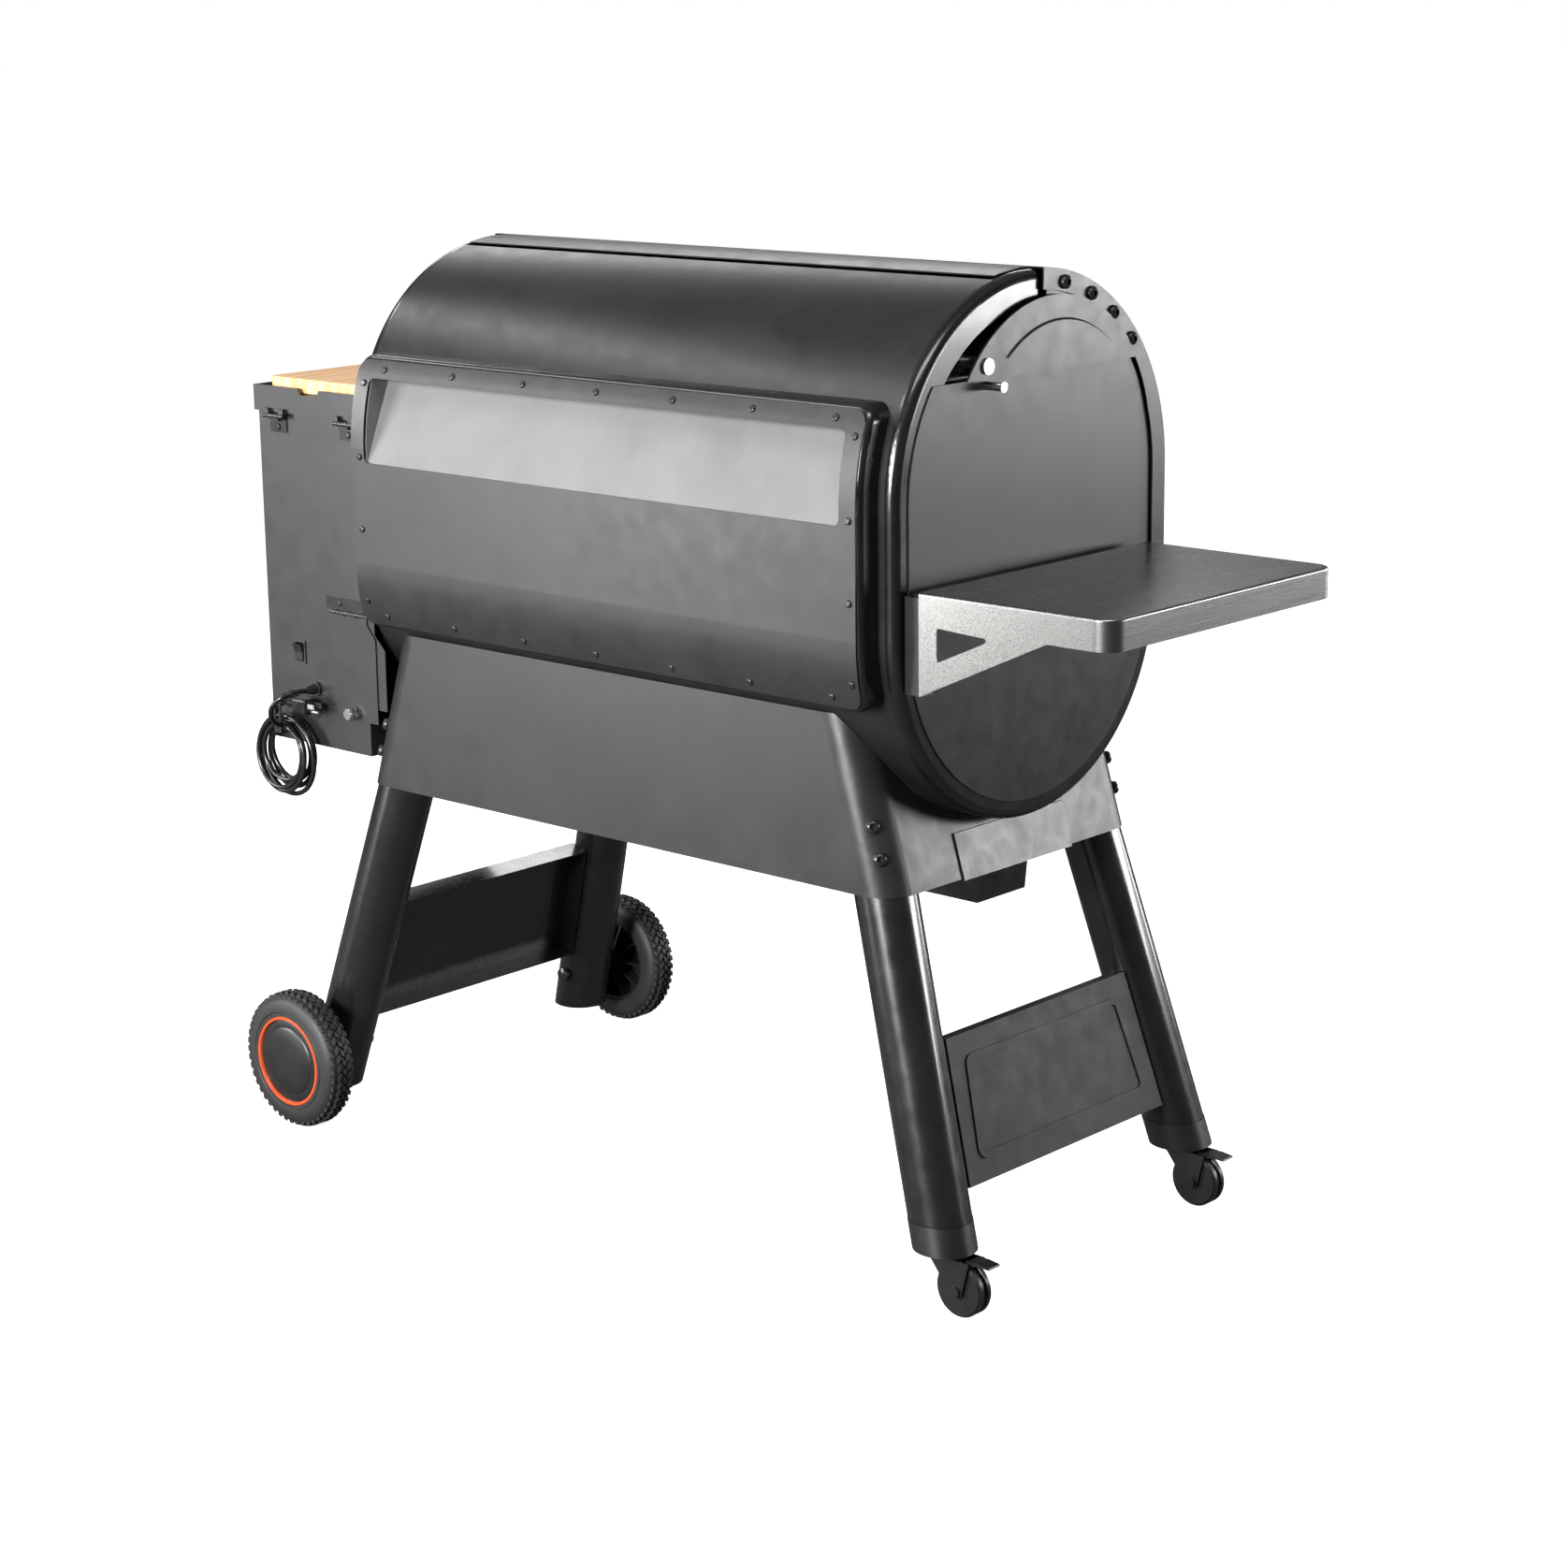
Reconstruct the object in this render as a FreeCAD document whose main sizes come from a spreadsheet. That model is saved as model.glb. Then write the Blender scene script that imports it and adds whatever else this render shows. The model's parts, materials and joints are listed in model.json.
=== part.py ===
import FreeCAD, Part
import math
import os
import Sketcher
from FreeCAD import Placement, Rotation, Vector

# Pellet smoker grill.  Millimetres, +Z up, +X towards the pellet hopper, -Y towards the lid handle.
# The origin is on the floor, under the middle of the whole grill.

DOC = FreeCAD.newDocument("pellet_smoker_grill")
SHEET = DOC.addObject("Spreadsheet::Sheet", "Sizes")

DRIVING = {
    # barrel: two half circles joined by straight sides
    "barrel_mid": 32.6, "barrel_half": 466.2, "top_centre": 954.5, "low_centre": 804,
    "shell_radius": 255.5, "sheet": 2, "thin": 1.5, "ring_length": 15, "ring_nose": 12,
    "ring_flange": 40, "plate_radius": 232, "plate_top": 1091, "wall_inset": 15,
    "seam_angle": 14, "sill": 822, "liner_radius": 240,
    # lid
    "lid_radius": 258, "lid_gap": 4, "lid_edge_angle": 12.3, "lid_bottom": 806, "lid_rim": 26,
    "pivot_y": 100.7, "pivot_z": 1106.7, "lid_swing": 52, "arm_radius": 197, "arm_mid_y": -28,
    "arm_mid_z": 982.6, "arm_foot": 1091.5, "arm_sheet": 3, "press_y": -37, "press_z": 991.8,
    "press_radius": 159.7, "press_height": 2.5, "press_foot": 1113, "pin_radius": 5, "pin_reach": 25,
    "handle_radius": 12, "handle_half": 290, "handle_y": -314, "handle_z": 872, "post_at": 240,
    # exhaust duct on the back
    "cover_half": 436, "cover_low": 723, "cover_top": 1070, "duct_radius": 287, "duct_wall": 11,
    "duct_border": 5, "duct_corner": 16, "window_half": 411.5, "window_low": 937.5,
    "window_top": 1047, "screw_rows": 129.7, "screw_side": 423,
    # side shelf
    "shelf_outer": -730.9, "shelf_inner": -457.7, "shelf_top": 863, "shelf_edge": 37,
    "shelf_front": -200, "shelf_back": 242, "bracket_foot": 741.5, "shelf_corner": 25,
    # legs and skirt
    "leg_radius": 38.25, "leg_wall": 2.5, "leg_level": 614, "leg_shelf_x": -332.2,
    "leg_hopper_x": 446.1, "leg_y": 188.1, "lean_x": 0.30, "lean_y": 0.094, "leg_top": 590,
    "foot_shelf": 78, "cap_seam": 113, "foot_hopper": 40, "skirt_low": 488, "skirt_top": 702,
    "skirt_reach": 40.8, "skirt_top_y": 237, "panel_low": 131, "panel_top": 302,
    "panel_out": 20, "panel_depth": 30,
    # wheels and casters
    "wheel_radius": 96, "wheel_in": 292, "wheel_out": 338, "axle_radius": 6,
    "caster_radius": 34, "caster_trail": 29, "caster_width": 24, "stem_radius": 5.5,
    # hopper
    "hopper_in": 520, "hopper_out": 726.4, "hopper_y": 232.6, "hopper_low": 522,
    "hopper_top": 1000, "rim_in": 516, "rim_out": 730.8, "rim_y": 237, "rim_low": 980,
    "rim_top": 1015, "tray_floor": 1007, "board_in": 522, "board_out": 707, "board_y": 228,
    "board_thick": 20, "hinge_y": 242, "hinge_z": 975,
    "door_in": 501, "door_out": 590, "door_low": 569, "door_top": 711, "door_hinge_z": 716,
    # feed and fire
    "auger_z": 622, "tube_radius": 30, "flight_radius": 26, "flight_pitch": 50,
    "auger_start": 175, "auger_end": 640, "pot_x": 100, "pot_radius": 62,
    # power cord
    "cord_radius": 3.5, "coil_x": 679, "coil_y": 250, "coil_z": 507, "coil_half_x": 47,
    "coil_half_z": 48, "coil_thick": 11.5,
}


class Size:
    """A length with the sheet expression that gives it."""

    def __init__(self, value, text):
        self.value = float(value)
        self.text = text

    def __add__(self, other):
        other = as_size(other)
        return Size(self.value + other.value, f"({self.text} + {other.text})")

    def __radd__(self, other):
        return as_size(other) + self

    def __sub__(self, other):
        other = as_size(other)
        return Size(self.value - other.value, f"({self.text} - {other.text})")

    def __rsub__(self, other):
        return as_size(other) - self

    def __mul__(self, other):
        other = as_size(other)
        return Size(self.value * other.value, f"({self.text} * {other.text})")

    def __rmul__(self, other):
        return as_size(other) * self

    def __neg__(self):
        return self * -1

    def __float__(self):
        return self.value


def as_size(number):
    return number if isinstance(number, Size) else Size(number, repr(float(number)))


class Driving:
    """Reads a driving dimension from the sheet by its alias."""

    def __init__(self, table):
        for row, (alias, value) in enumerate(table.items(), start=1):
            SHEET.set(f"A{row}", alias)
            SHEET.set(f"B{row}", str(value))
            SHEET.setAlias(f"B{row}", alias)
            setattr(self, alias, Size(value, f"Sizes.{alias}"))


D = Driving(DRIVING)
DOC.recompute()
SUB_PARTS = []


def bind(thing, prop, size):
    """Gives a property its value and ties it to the sheet."""
    size = as_size(size)
    if "Sizes." in size.text:
        thing.setExpression(prop, size.text)
    else:
        setattr(thing, prop, size.value)


def place(thing, x=0, y=0, z=0, rotation=None):
    at = [as_size(value) for value in (x, y, z)]
    thing.Placement = Placement(Vector(*[value.value for value in at]), rotation or Rotation())
    for axis, value in zip("xyz", at):
        if "Sizes." in value.text:
            thing.setExpression(f"Placement.Base.{axis}", value.text)
    return thing


def keep(thing, label):
    """Marks an object as a sub-part that gets its own file."""
    thing.Label = label
    SUB_PARTS.append(thing)
    return thing


# ---------------------------------------------------------------- primitives and booleans

def box(x, y, z, low):
    thing = DOC.addObject("Part::Box", "Box")
    for prop, size in zip(("Length", "Width", "Height"), (x, y, z)):
        bind(thing, prop, size)
    return place(thing, *low)


def span(x, y, z):
    """A box given by its two limits along each axis."""
    limits = [(as_size(a), as_size(b)) for a, b in (x, y, z)]
    return box(*[b - a for a, b in limits], low=[a for a, b in limits])


ALONG = {"x": Rotation(Vector(0, 1, 0), 90), "y": Rotation(Vector(1, 0, 0), -90), "z": Rotation()}


def rod(radius, length, at, along="z"):
    thing = DOC.addObject("Part::Cylinder", "Rod")
    bind(thing, "Radius", radius)
    bind(thing, "Height", length)
    return place(thing, *at, rotation=ALONG[along])


def cut(base, *tools):
    thing = DOC.addObject("Part::Cut", "Cut")
    thing.Base = base
    thing.Tool = tools[0] if len(tools) == 1 else fuse(*tools)
    return thing


def fuse(*shapes):
    thing = DOC.addObject("Part::MultiFuse", "Fuse")
    thing.Shapes = list(shapes)
    return thing


def common(*shapes):
    thing = DOC.addObject("Part::MultiCommon", "Common")
    thing.Shapes = list(shapes)
    return thing


def solid(shape, name="Solid"):
    thing = DOC.addObject("Part::Feature", name)
    thing.Shape = shape
    return thing


def group(shapes, label):
    """Separate solids that share one file."""
    return keep(solid(Part.makeCompound(shapes), "Group"), label)


# ---------------------------------------------------------------- sketches and bodies

def body(label=None):
    thing = DOC.addObject("PartDesign::Body", "Body")
    if label:
        keep(thing, label)
    return thing


def sketch(owner, plane, edges, offset=0.0):
    """A sketch on one of the body's own origin planes, from Part edges or from corners tied to the sheet."""
    drawn = owner.newObject("Sketcher::SketchObject", "Outline")
    origin = [item for item in owner.Origin.OriginFeatures if item.Role == plane][0]
    drawn.AttachmentSupport = [(origin, "")]
    drawn.MapMode = "FlatFace"
    drawn.AttachmentOffset = Placement(Vector(0, 0, float(offset)), Rotation())
    if isinstance(edges[0], tuple):
        drawn.addGeometry(polygon(edges), False)
        tie_corners(drawn, edges)
    else:
        drawn.addGeometry(edges, False)
    return drawn


def tie_corners(drawn, corners):
    """Ties each corner of a closed polygon to the sheet."""
    for index, corner in enumerate(corners):
        previous = (index - 1) % len(corners)
        drawn.addConstraint(Sketcher.Constraint("Coincident", previous, 2, index, 1))
        for kind, size in zip(("DistanceX", "DistanceY"), corner):
            size = as_size(size)
            if abs(size.value) < 1e-6:
                continue
            row = drawn.addConstraint(Sketcher.Constraint(kind, -1, 1, index, 1, size.value))
            if "Sizes." in size.text:
                drawn.setExpression(f"Constraints[{row}]", size.text)


def polygon(corners):
    points = [Vector(float(u), float(v), 0) for u, v in corners]
    return [Part.LineSegment(p, q) for p, q in zip(points, points[1:] + points[:1])]


def rectangle(low_u, high_u, low_v, high_v):
    return [(low_u, low_v), (high_u, low_v), (high_u, high_v), (low_u, high_v)]


def arc(centre, radius, start, end):
    """A sketch arc, angles in degrees counter-clockwise."""
    circle = Part.Circle(Vector(float(centre[0]), float(centre[1]), 0), Vector(0, 0, 1), float(radius))
    return Part.ArcOfCircle(circle, math.radians(start), math.radians(end))


def line(p, q):
    return Part.LineSegment(Vector(float(p[0]), float(p[1]), 0), Vector(float(q[0]), float(q[1]), 0))


def round_corners(points, radius):
    """A closed outline of straight sides whose corners are tangent arcs."""
    corners = [Vector(float(u), float(v), 0) for u, v in points]
    sides, arcs, starts, ends = [], [], [], []
    for before, corner, after in zip(corners[-1:] + corners[:-1], corners, corners[1:] + corners[:1]):
        back, ahead = (before - corner).normalize(), (after - corner).normalize()
        half = back.getAngle(ahead) / 2
        trim = radius / math.tan(half)
        middle = corner + (back + ahead).normalize() * (radius / math.sin(half) - radius)
        starts.append(corner + back * trim)
        ends.append(corner + ahead * trim)
        arcs.append(Part.Arc(starts[-1], middle, ends[-1]))
    for end, start in zip(ends, starts[1:] + starts[:1]):
        sides.append(Part.LineSegment(end, start))
    return [edge for pair in zip(arcs, sides) for edge in pair]


def polar(centre, radius, angle):
    turn = math.radians(angle)
    return (float(centre[0]) + float(radius) * math.cos(turn),
            float(centre[1]) + float(radius) * math.sin(turn))


def rounded(low_u, high_u, low_v, high_v, radius):
    """A rectangle with round corners, as sketch geometry."""
    u0, u1, v0, v1, r = [float(value) for value in (low_u, high_u, low_v, high_v, radius)]
    return [line((u0 + r, v0), (u1 - r, v0)), arc((u1 - r, v0 + r), r, 270, 360),
            line((u1, v0 + r), (u1, v1 - r)), arc((u1 - r, v1 - r), r, 0, 90),
            line((u1 - r, v1), (u0 + r, v1)), arc((u0 + r, v1 - r), r, 90, 180),
            line((u0, v1 - r), (u0, v0 + r)), arc((u0 + r, v0 + r), r, 180, 270)]


def extrude(owner, kind, drawn, length, both_ways=False, backwards=False):
    feature = owner.newObject(kind, "Step")
    feature.Profile = drawn
    bind(feature, "Length", length)
    if both_ways:
        feature.Midplane = True
    feature.Reversed = backwards
    return feature


def pad(owner, drawn, length, **ways):
    return extrude(owner, "PartDesign::Pad", drawn, length, **ways)


def pocket(owner, drawn, length, **ways):
    return extrude(owner, "PartDesign::Pocket", drawn, length, **ways)


def dress(owner, kind, feature, size, wanted):
    """Fillets or chamfers the edges of a feature that a test picks."""
    DOC.recompute()
    names = [f"Edge{n}" for n, edge in enumerate(feature.Shape.Edges, start=1) if wanted(edge)]
    step = owner.newObject(kind, "Dressed")
    step.Base = (feature, names)
    bind(step, "Radius" if kind.endswith("Fillet") else "Size", size)
    return step


def fillet(owner, feature, radius, wanted):
    return dress(owner, "PartDesign::Fillet", feature, radius, wanted)


def runs_along(edge, axis):
    """True for a straight edge parallel to an axis."""
    if edge.Curve.TypeId != "Part::GeomLine":
        return False
    return abs(edge.Curve.Direction.normalize().dot(axis)) > 0.999


X_AXIS, Y_AXIS, Z_AXIS = Vector(1, 0, 0), Vector(0, 1, 0), Vector(0, 0, 1)
TOP = (0, D.top_centre)
LOW = (0, D.low_centre)


# ---------------------------------------------------------------- barrel outlines (sketch u = y, v = z)

def stadium(radius):
    r = float(radius)
    high, low = float(D.top_centre), float(D.low_centre)
    return [arc(TOP, r, 0, 180), line((-r, high), (-r, low)), arc(LOW, r, 180, 360),
            line((r, low), (r, high))]


def back_band(outer, inner, seam):
    """Open band from the seam near the top, down the back and under, up to the front sill."""
    ro, ri = float(outer), float(inner)
    high, low, sill = float(D.top_centre), float(D.low_centre), float(D.sill)
    start = 90 - float(seam)
    return [arc(TOP, ro, 0, start), line((ro, high), (ro, low)), arc(LOW, ro, 180, 360),
            line((-ro, low), (-ro, sill)), line((-ro, sill), (-ri, sill)), line((-ri, sill), (-ri, low)),
            arc(LOW, ri, 180, 360), line((ri, low), (ri, high)), arc(TOP, ri, 0, start),
            line(polar(TOP, ri, start), polar(TOP, ro, start))]


def lid_band(outer, inner, seam, bottom):
    """Open band from the seam near the top, over and down the front."""
    ro, ri, end = float(outer), float(inner), float(bottom)
    high = float(D.top_centre)
    start = 90 - float(seam)
    return [arc(TOP, ro, start, 180), line((-ro, high), (-ro, end)), line((-ro, end), (-ri, end)),
            line((-ri, end), (-ri, high)), arc(TOP, ri, start, 180),
            line(polar(TOP, ri, start), polar(TOP, ro, start))]


def duct_band(outer, inner):
    """Band round the back of the barrel, longer than the exhaust duct is high."""
    ro, ri = float(outer), float(inner)
    high, low = float(D.top_centre), float(D.low_centre)
    up, down = 32, 334
    return [arc(TOP, ro, 0, up), line(polar(TOP, ro, up), polar(TOP, ri, up)), arc(TOP, ri, 0, up),
            line((ri, high), (ri, low)), arc(LOW, ri, down, 360),
            line(polar(LOW, ri, down), polar(LOW, ro, down)), arc(LOW, ro, down, 360),
            line((ro, low), (ro, high))]


def along_barrel(label, edges, length, middle=D.barrel_mid):
    """A body padded both ways along X from an outline across the barrel."""
    owner = body(label)
    feature = pad(owner, sketch(owner, "YZ_Plane", edges), length, both_ways=True)
    place(owner, middle)
    return owner, feature


def end_x(side, inset=0):
    """X of a barrel end; side is -1 for the shelf end and 1 for the hopper end."""
    return D.barrel_mid + side * (D.barrel_half - inset)


ENDS = {"shelf": -1, "hopper": 1}


# ---------------------------------------------------------------- barrel

def make_barrel():
    shell_length = 2 * (D.barrel_half - D.ring_length)
    owner, feature = along_barrel(
        "barrel_shell", back_band(D.shell_radius, D.shell_radius - D.sheet, D.seam_angle), shell_length)
    slots = sketch(owner, "XZ_Plane", polygon(rectangle(-390, 390, 980, 1010)))
    pocket(owner, slots, 300)
    liner_length = 2 * (D.barrel_half - D.wall_inset) - 44
    along_barrel("barrel_liner", back_band(D.liner_radius, D.liner_radius - D.thin, 9), liner_length)
    for name, side in ENDS.items():
        make_end_ring(f"end_ring_{name}", side)
        make_end_plate(f"end_plate_{name}", side)
    walls = [make_end_wall(side) for side in ENDS.values()]
    DOC.recompute()
    group([wall.Shape for wall in walls], "end_walls")


def barrel_path(x, radius, seam):
    """Path of an end ring, from the seam over the back and under to the sill."""
    high, low, sill, r = [float(v) for v in (D.top_centre, D.low_centre, D.sill, radius)]

    def at(centre, angle):
        y, z = polar((0, centre), r, angle)
        return Vector(x, y, z)

    start = 90 - float(seam)
    back = Part.Arc(at(high, start), at(high, start / 2), at(high, 0)).toShape()
    side = Part.LineSegment(at(high, 0), at(low, 0)).toShape()
    under = Part.Arc(at(low, 0), at(low, 270), at(low, 180)).toShape()
    front = Part.LineSegment(at(low, 180), Vector(x, -r, sill)).toShape()
    return Part.Wire([back, side, under, front])


def make_end_ring(label, side):
    """Rolled rim: a short collar, a round nose and a narrow flange."""
    seam = -1.5
    collar, nose, flange, wall = [float(v) for v in (D.ring_length, D.ring_nose, D.ring_flange, D.sheet)]
    seam_x = float(end_x(side, D.ring_length))
    angle = math.radians(90 - seam)
    outward = Vector(0, math.cos(angle), math.sin(angle))
    start = Vector(seam_x, 0, float(D.top_centre)) + outward * float(D.shell_radius)

    def at(along, depth):
        return start + Vector(side * along, 0, 0) - outward * depth

    slant = nose * (1 - math.sqrt(0.5))
    inner_slant = wall + (nose - wall) * (1 - math.sqrt(0.5))
    outline = [
        Part.LineSegment(at(0, 0), at(collar - nose, 0)),
        Part.Arc(at(collar - nose, 0), at(collar - slant, slant), at(collar, nose)),
        Part.LineSegment(at(collar, nose), at(collar, flange)),
        Part.LineSegment(at(collar, flange), at(collar - wall, flange)),
        Part.LineSegment(at(collar - wall, flange), at(collar - wall, nose)),
        Part.Arc(at(collar - wall, nose), at(collar - inner_slant, inner_slant), at(collar - nose, wall)),
        Part.LineSegment(at(collar - nose, wall), at(0, wall)),
        Part.LineSegment(at(0, wall), at(0, 0)),
    ]
    section = Part.Wire([edge.toShape() for edge in outline])
    swept = barrel_path(seam_x, float(D.shell_radius), seam).makePipeShell([section], True, False)
    keep(solid(swept, "Ring"), label)


def make_end_wall(side):
    """Inner end wall with ledges that the grates and the drip tray rest on."""
    owner = body()
    pad(owner, sketch(owner, "YZ_Plane", stadium(D.shell_radius - 4)), D.sheet, both_ways=True)
    for height in LEDGES:
        ledge = sketch(owner, "YZ_Plane", polygon(rectangle(-200, 200, height - 3, height)))
        pad(owner, ledge, 18, backwards=side > 0)
    if side > 0:
        hole = sketch(owner, "YZ_Plane", [Part.Circle(Vector(0, float(D.auger_z), 0), Z_AXIS, 31)])
        pocket(owner, hole, 40, both_ways=True)
    return place(owner, end_x(side, D.wall_inset))


LEDGES = (745, 872, 1000)


def make_end_plate(label, side):
    """Outer end plate, straight along the top where the lid arm swings."""
    owner = body(label)
    r, top = float(D.plate_radius), float(D.plate_top)
    rise = math.degrees(math.asin((top - float(D.top_centre)) / r))
    outline = [arc(TOP, r, 0, rise), line(polar(TOP, r, rise), polar(TOP, r, 180 - rise)),
               arc(TOP, r, 180 - rise, 180), line((-r, D.top_centre), (-r, D.low_centre)),
               arc(LOW, r, 180, 360), line((r, D.low_centre), (r, D.top_centre))]
    pad(owner, sketch(owner, "YZ_Plane", outline), D.sheet, backwards=side < 0)
    if side > 0:
        hole = sketch(owner, "YZ_Plane", [Part.Circle(Vector(0, float(D.auger_z), 0), Z_AXIS, 31)])
        pocket(owner, hole, 40, both_ways=True)
    place(owner, end_x(side))


# ---------------------------------------------------------------- lid

LID_HALF = D.barrel_half + D.lid_gap + D.sheet


def make_lid():
    owner, shell = along_barrel(
        "lid_shell", lid_band(D.lid_radius, D.lid_radius - D.thin, D.lid_edge_angle, D.lid_bottom),
        2 * LID_HALF)
    # the back corners are cut away, because the end rings run on under them
    reach, edge = float(LID_HALF) + 20, float(LID_HALF - D.ring_length - D.lid_gap - D.sheet) - 2
    for side in (-1, 1):
        corner = [(side * reach, -44), (side * edge, -8), (side * edge, 110), (side * reach, 110)]
        pocket(owner, sketch(owner, "XY_Plane", polygon(corner), 1100), 300, backwards=True)
    # end flanges, open where the arms bolt on
    for side in (-1, 1):
        rim = lid_band(D.lid_radius, D.lid_radius - D.lid_rim, -2.5, D.lid_bottom)
        flange = sketch(owner, "YZ_Plane", rim, side * (float(LID_HALF) - float(D.sheet)))
        pad(owner, flange, D.sheet, backwards=side < 0)
    arm_hole = Part.Circle(Vector(float(D.arm_mid_y), float(D.arm_mid_z), 0), Z_AXIS,
                           float(D.arm_radius) + 0.6)
    for side in (-1, 1):
        hole = sketch(owner, "YZ_Plane", [arm_hole], side * (float(LID_HALF) - 3 * float(D.sheet)))
        pocket(owner, hole, 5 * D.sheet, backwards=side > 0)
    make_handle()
    for name, side in ENDS.items():
        make_lid_arm(f"lid_arm_{name}", side)


def make_handle():
    """Tube with two posts, bolted through the front of the lid."""
    tube = rod(D.handle_radius, 2 * D.handle_half,
               (D.barrel_mid - D.handle_half, D.handle_y, D.handle_z), "x")
    reach = -1 * (D.handle_y + D.lid_radius)
    posts = [rod(9, reach, (D.barrel_mid + side * D.post_at, D.handle_y, D.handle_z), "y")
             for side in (-1, 1)]
    feet = [rod(15, 4, (D.barrel_mid + side * D.post_at, D.handle_y + reach - 4, D.handle_z), "y")
            for side in (-1, 1)]
    keep(fuse(tube, *posts, *feet), "lid_handle")


BOLT_ANGLES = (102, 115, 127, 139)
BOLT_CIRCLE = 243.4


def make_lid_arm(label, side):
    """Half-moon arm: pressed plate, step and tab behind the lid flange, with its four bolts."""
    outer = LID_HALF + 1
    centre = (D.arm_mid_y, D.arm_mid_z)

    def disc(radius, x_from, thick, middle=centre):
        start = D.barrel_mid + (x_from if side > 0 else -1 * (x_from + thick))
        return rod(radius, thick, (start, *middle), "x")

    def above(height):
        return span((D.barrel_mid - 600, D.barrel_mid + 600), (-300, 300), (height, 1400))

    plate = common(disc(D.arm_radius, outer, D.arm_sheet), above(D.arm_foot))
    step_from = outer - 6
    step = cut(common(disc(D.arm_radius, step_from, 6), above(1106)), disc(D.arm_radius - 2, step_from, 6))
    step = cut(step, span((-1000, 1000), (-20, 400), (1000, 1400)))
    tab = cut(common(disc(D.arm_radius + 18, step_from, 2), disc(252, step_from, 2, (0, D.top_centre)),
                     above(1106)), disc(D.arm_radius - 2, step_from, 2))
    tab = cut(tab, span((-1000, 1000), (-20, 400), (1000, 1400)))
    raised = DOC.addObject("Part::Cone", "Pressing")
    bind(raised, "Radius1", D.press_radius)
    bind(raised, "Radius2", D.press_radius - 2.6)
    bind(raised, "Height", D.press_height)
    place(raised, D.barrel_mid + side * (outer + D.arm_sheet), D.press_y, D.press_z,
          Rotation(Y_AXIS, side * 90))
    pressed = common(raised, above(D.press_foot))
    hole = disc(6.6, outer - 1, 8, (D.pivot_y, D.pivot_z))
    arm = cut(fuse(plate, step, tab, pressed), hole)
    DOC.recompute()
    outward = Vector(side, 0, 0)
    bolts = [socket_head(bolt_place(side, angle), outward, 8.6, 7) for angle in BOLT_ANGLES]
    group([arm.Shape] + bolts, label)


def bolt_place(side, angle):
    y, z = polar(TOP, BOLT_CIRCLE, angle)
    return Vector(float(D.barrel_mid + side * LID_HALF), y, z)


def stop_pin_place():
    """Where the arm's foot meets the stop pin when the lid is fully open."""
    foot = float(D.pivot_z) - float(D.arm_foot)
    lean = math.degrees(math.acos((foot + float(D.pin_radius) + 0.6) / float(D.pin_reach)))
    return polar((D.pivot_y, D.pivot_z), D.pin_reach, -90 - float(D.lid_swing) + lean)


def make_pivots():
    """Pivot screws and stop pins, one of each at either end."""
    shapes = []
    for side in (-1, 1):
        wall = float(end_x(side, D.wall_inset)) + side
        outward = Vector(side, 0, 0)
        shank = float(LID_HALF) + 1 + float(D.arm_sheet) - float(D.barrel_half) + float(D.wall_inset) - 1
        at = Vector(wall, float(D.pivot_y), float(D.pivot_z))
        boss = Part.makeCylinder(11, shank - 4.5, at, outward)
        pin = Part.makeCylinder(6.5, shank + 0.4, at, outward)
        head = Part.makeCylinder(9.5, 3, at + outward * (shank + 0.4), outward)
        slot = Part.makeBox(4, 2, 24, Vector(-2, -1, -12))
        slot.Placement = Placement(at + outward * (shank + 3.4), Rotation(X_AXIS, 20))
        shapes.append(boss.fuse([pin, head]).cut(slot).removeSplitter())
        y, z = stop_pin_place()
        plate = float(end_x(side)) + side * float(D.sheet)
        reach = 26 if side < 0 else 9.5
        stud = Part.makeCylinder(float(D.pin_radius), reach, Vector(plate, y, z), outward)
        cap = Part.makeCylinder(float(D.pin_radius) + 1.2, 1.5, Vector(plate + side * reach, y, z), outward)
        shapes.append(stud.fuse(cap))
    group(shapes, "lid_pivots")


# ---------------------------------------------------------------- exhaust duct

def duct_layer(label, outer, inner, border):
    """A curved layer of the duct, trimmed to a rounded rectangle that is a border larger than the cover."""
    half, corner = D.cover_half + border, D.duct_corner + border
    low, high = D.cover_low - border, D.cover_top + border
    owner, layer = along_barrel(label, duct_band(outer, inner), 2 * half + 60)
    frame = rounded(-1 * half, half, low, high, corner)
    frame += polygon(rectangle(-1 * half - 50, half + 50, low - 60, high + 60))
    trimmed = pocket(owner, sketch(owner, "XZ_Plane", frame), 800, both_ways=True)
    return owner, trimmed


def make_duct():
    border, wall = D.duct_border, D.duct_wall
    owner, rim = duct_layer("duct_box", D.duct_radius, D.shell_radius + 0.4, border)
    fillet(owner, rim, 8, lambda edge: on_duct_face(edge, float(D.duct_radius)))
    hollow = rounded(-1 * (D.cover_half + border - wall), D.cover_half + border - wall,
                     D.cover_low - border + wall, D.cover_top + border - wall, 8)
    pocket(owner, sketch(owner, "XZ_Plane", hollow), 800, both_ways=True)

    owner, sheet = duct_layer("duct_cover", D.duct_radius + 2.4, D.duct_radius + 0.4, as_size(0))
    window = sketch(owner, "XZ_Plane", rounded(-D.window_half, D.window_half, D.window_low,
                                               D.window_top, 9))
    pocket(owner, window, 800, both_ways=True)
    make_deflector()


def on_duct_face(edge, radius):
    """True for an edge round the rim of the duct's outer face."""
    high, low = float(D.top_centre), float(D.low_centre)
    if runs_along(edge, X_AXIS) and low - 1 < edge.CenterOfMass.z < high + 1:
        return False
    middle = edge.valueAt((edge.FirstParameter + edge.LastParameter) / 2)
    ends = [vertex.Point for vertex in edge.Vertexes] + [middle]
    return all(abs(math.hypot(p.y, p.z - min(max(p.z, low), high)) - radius) < 0.05 for p in ends)


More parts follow.
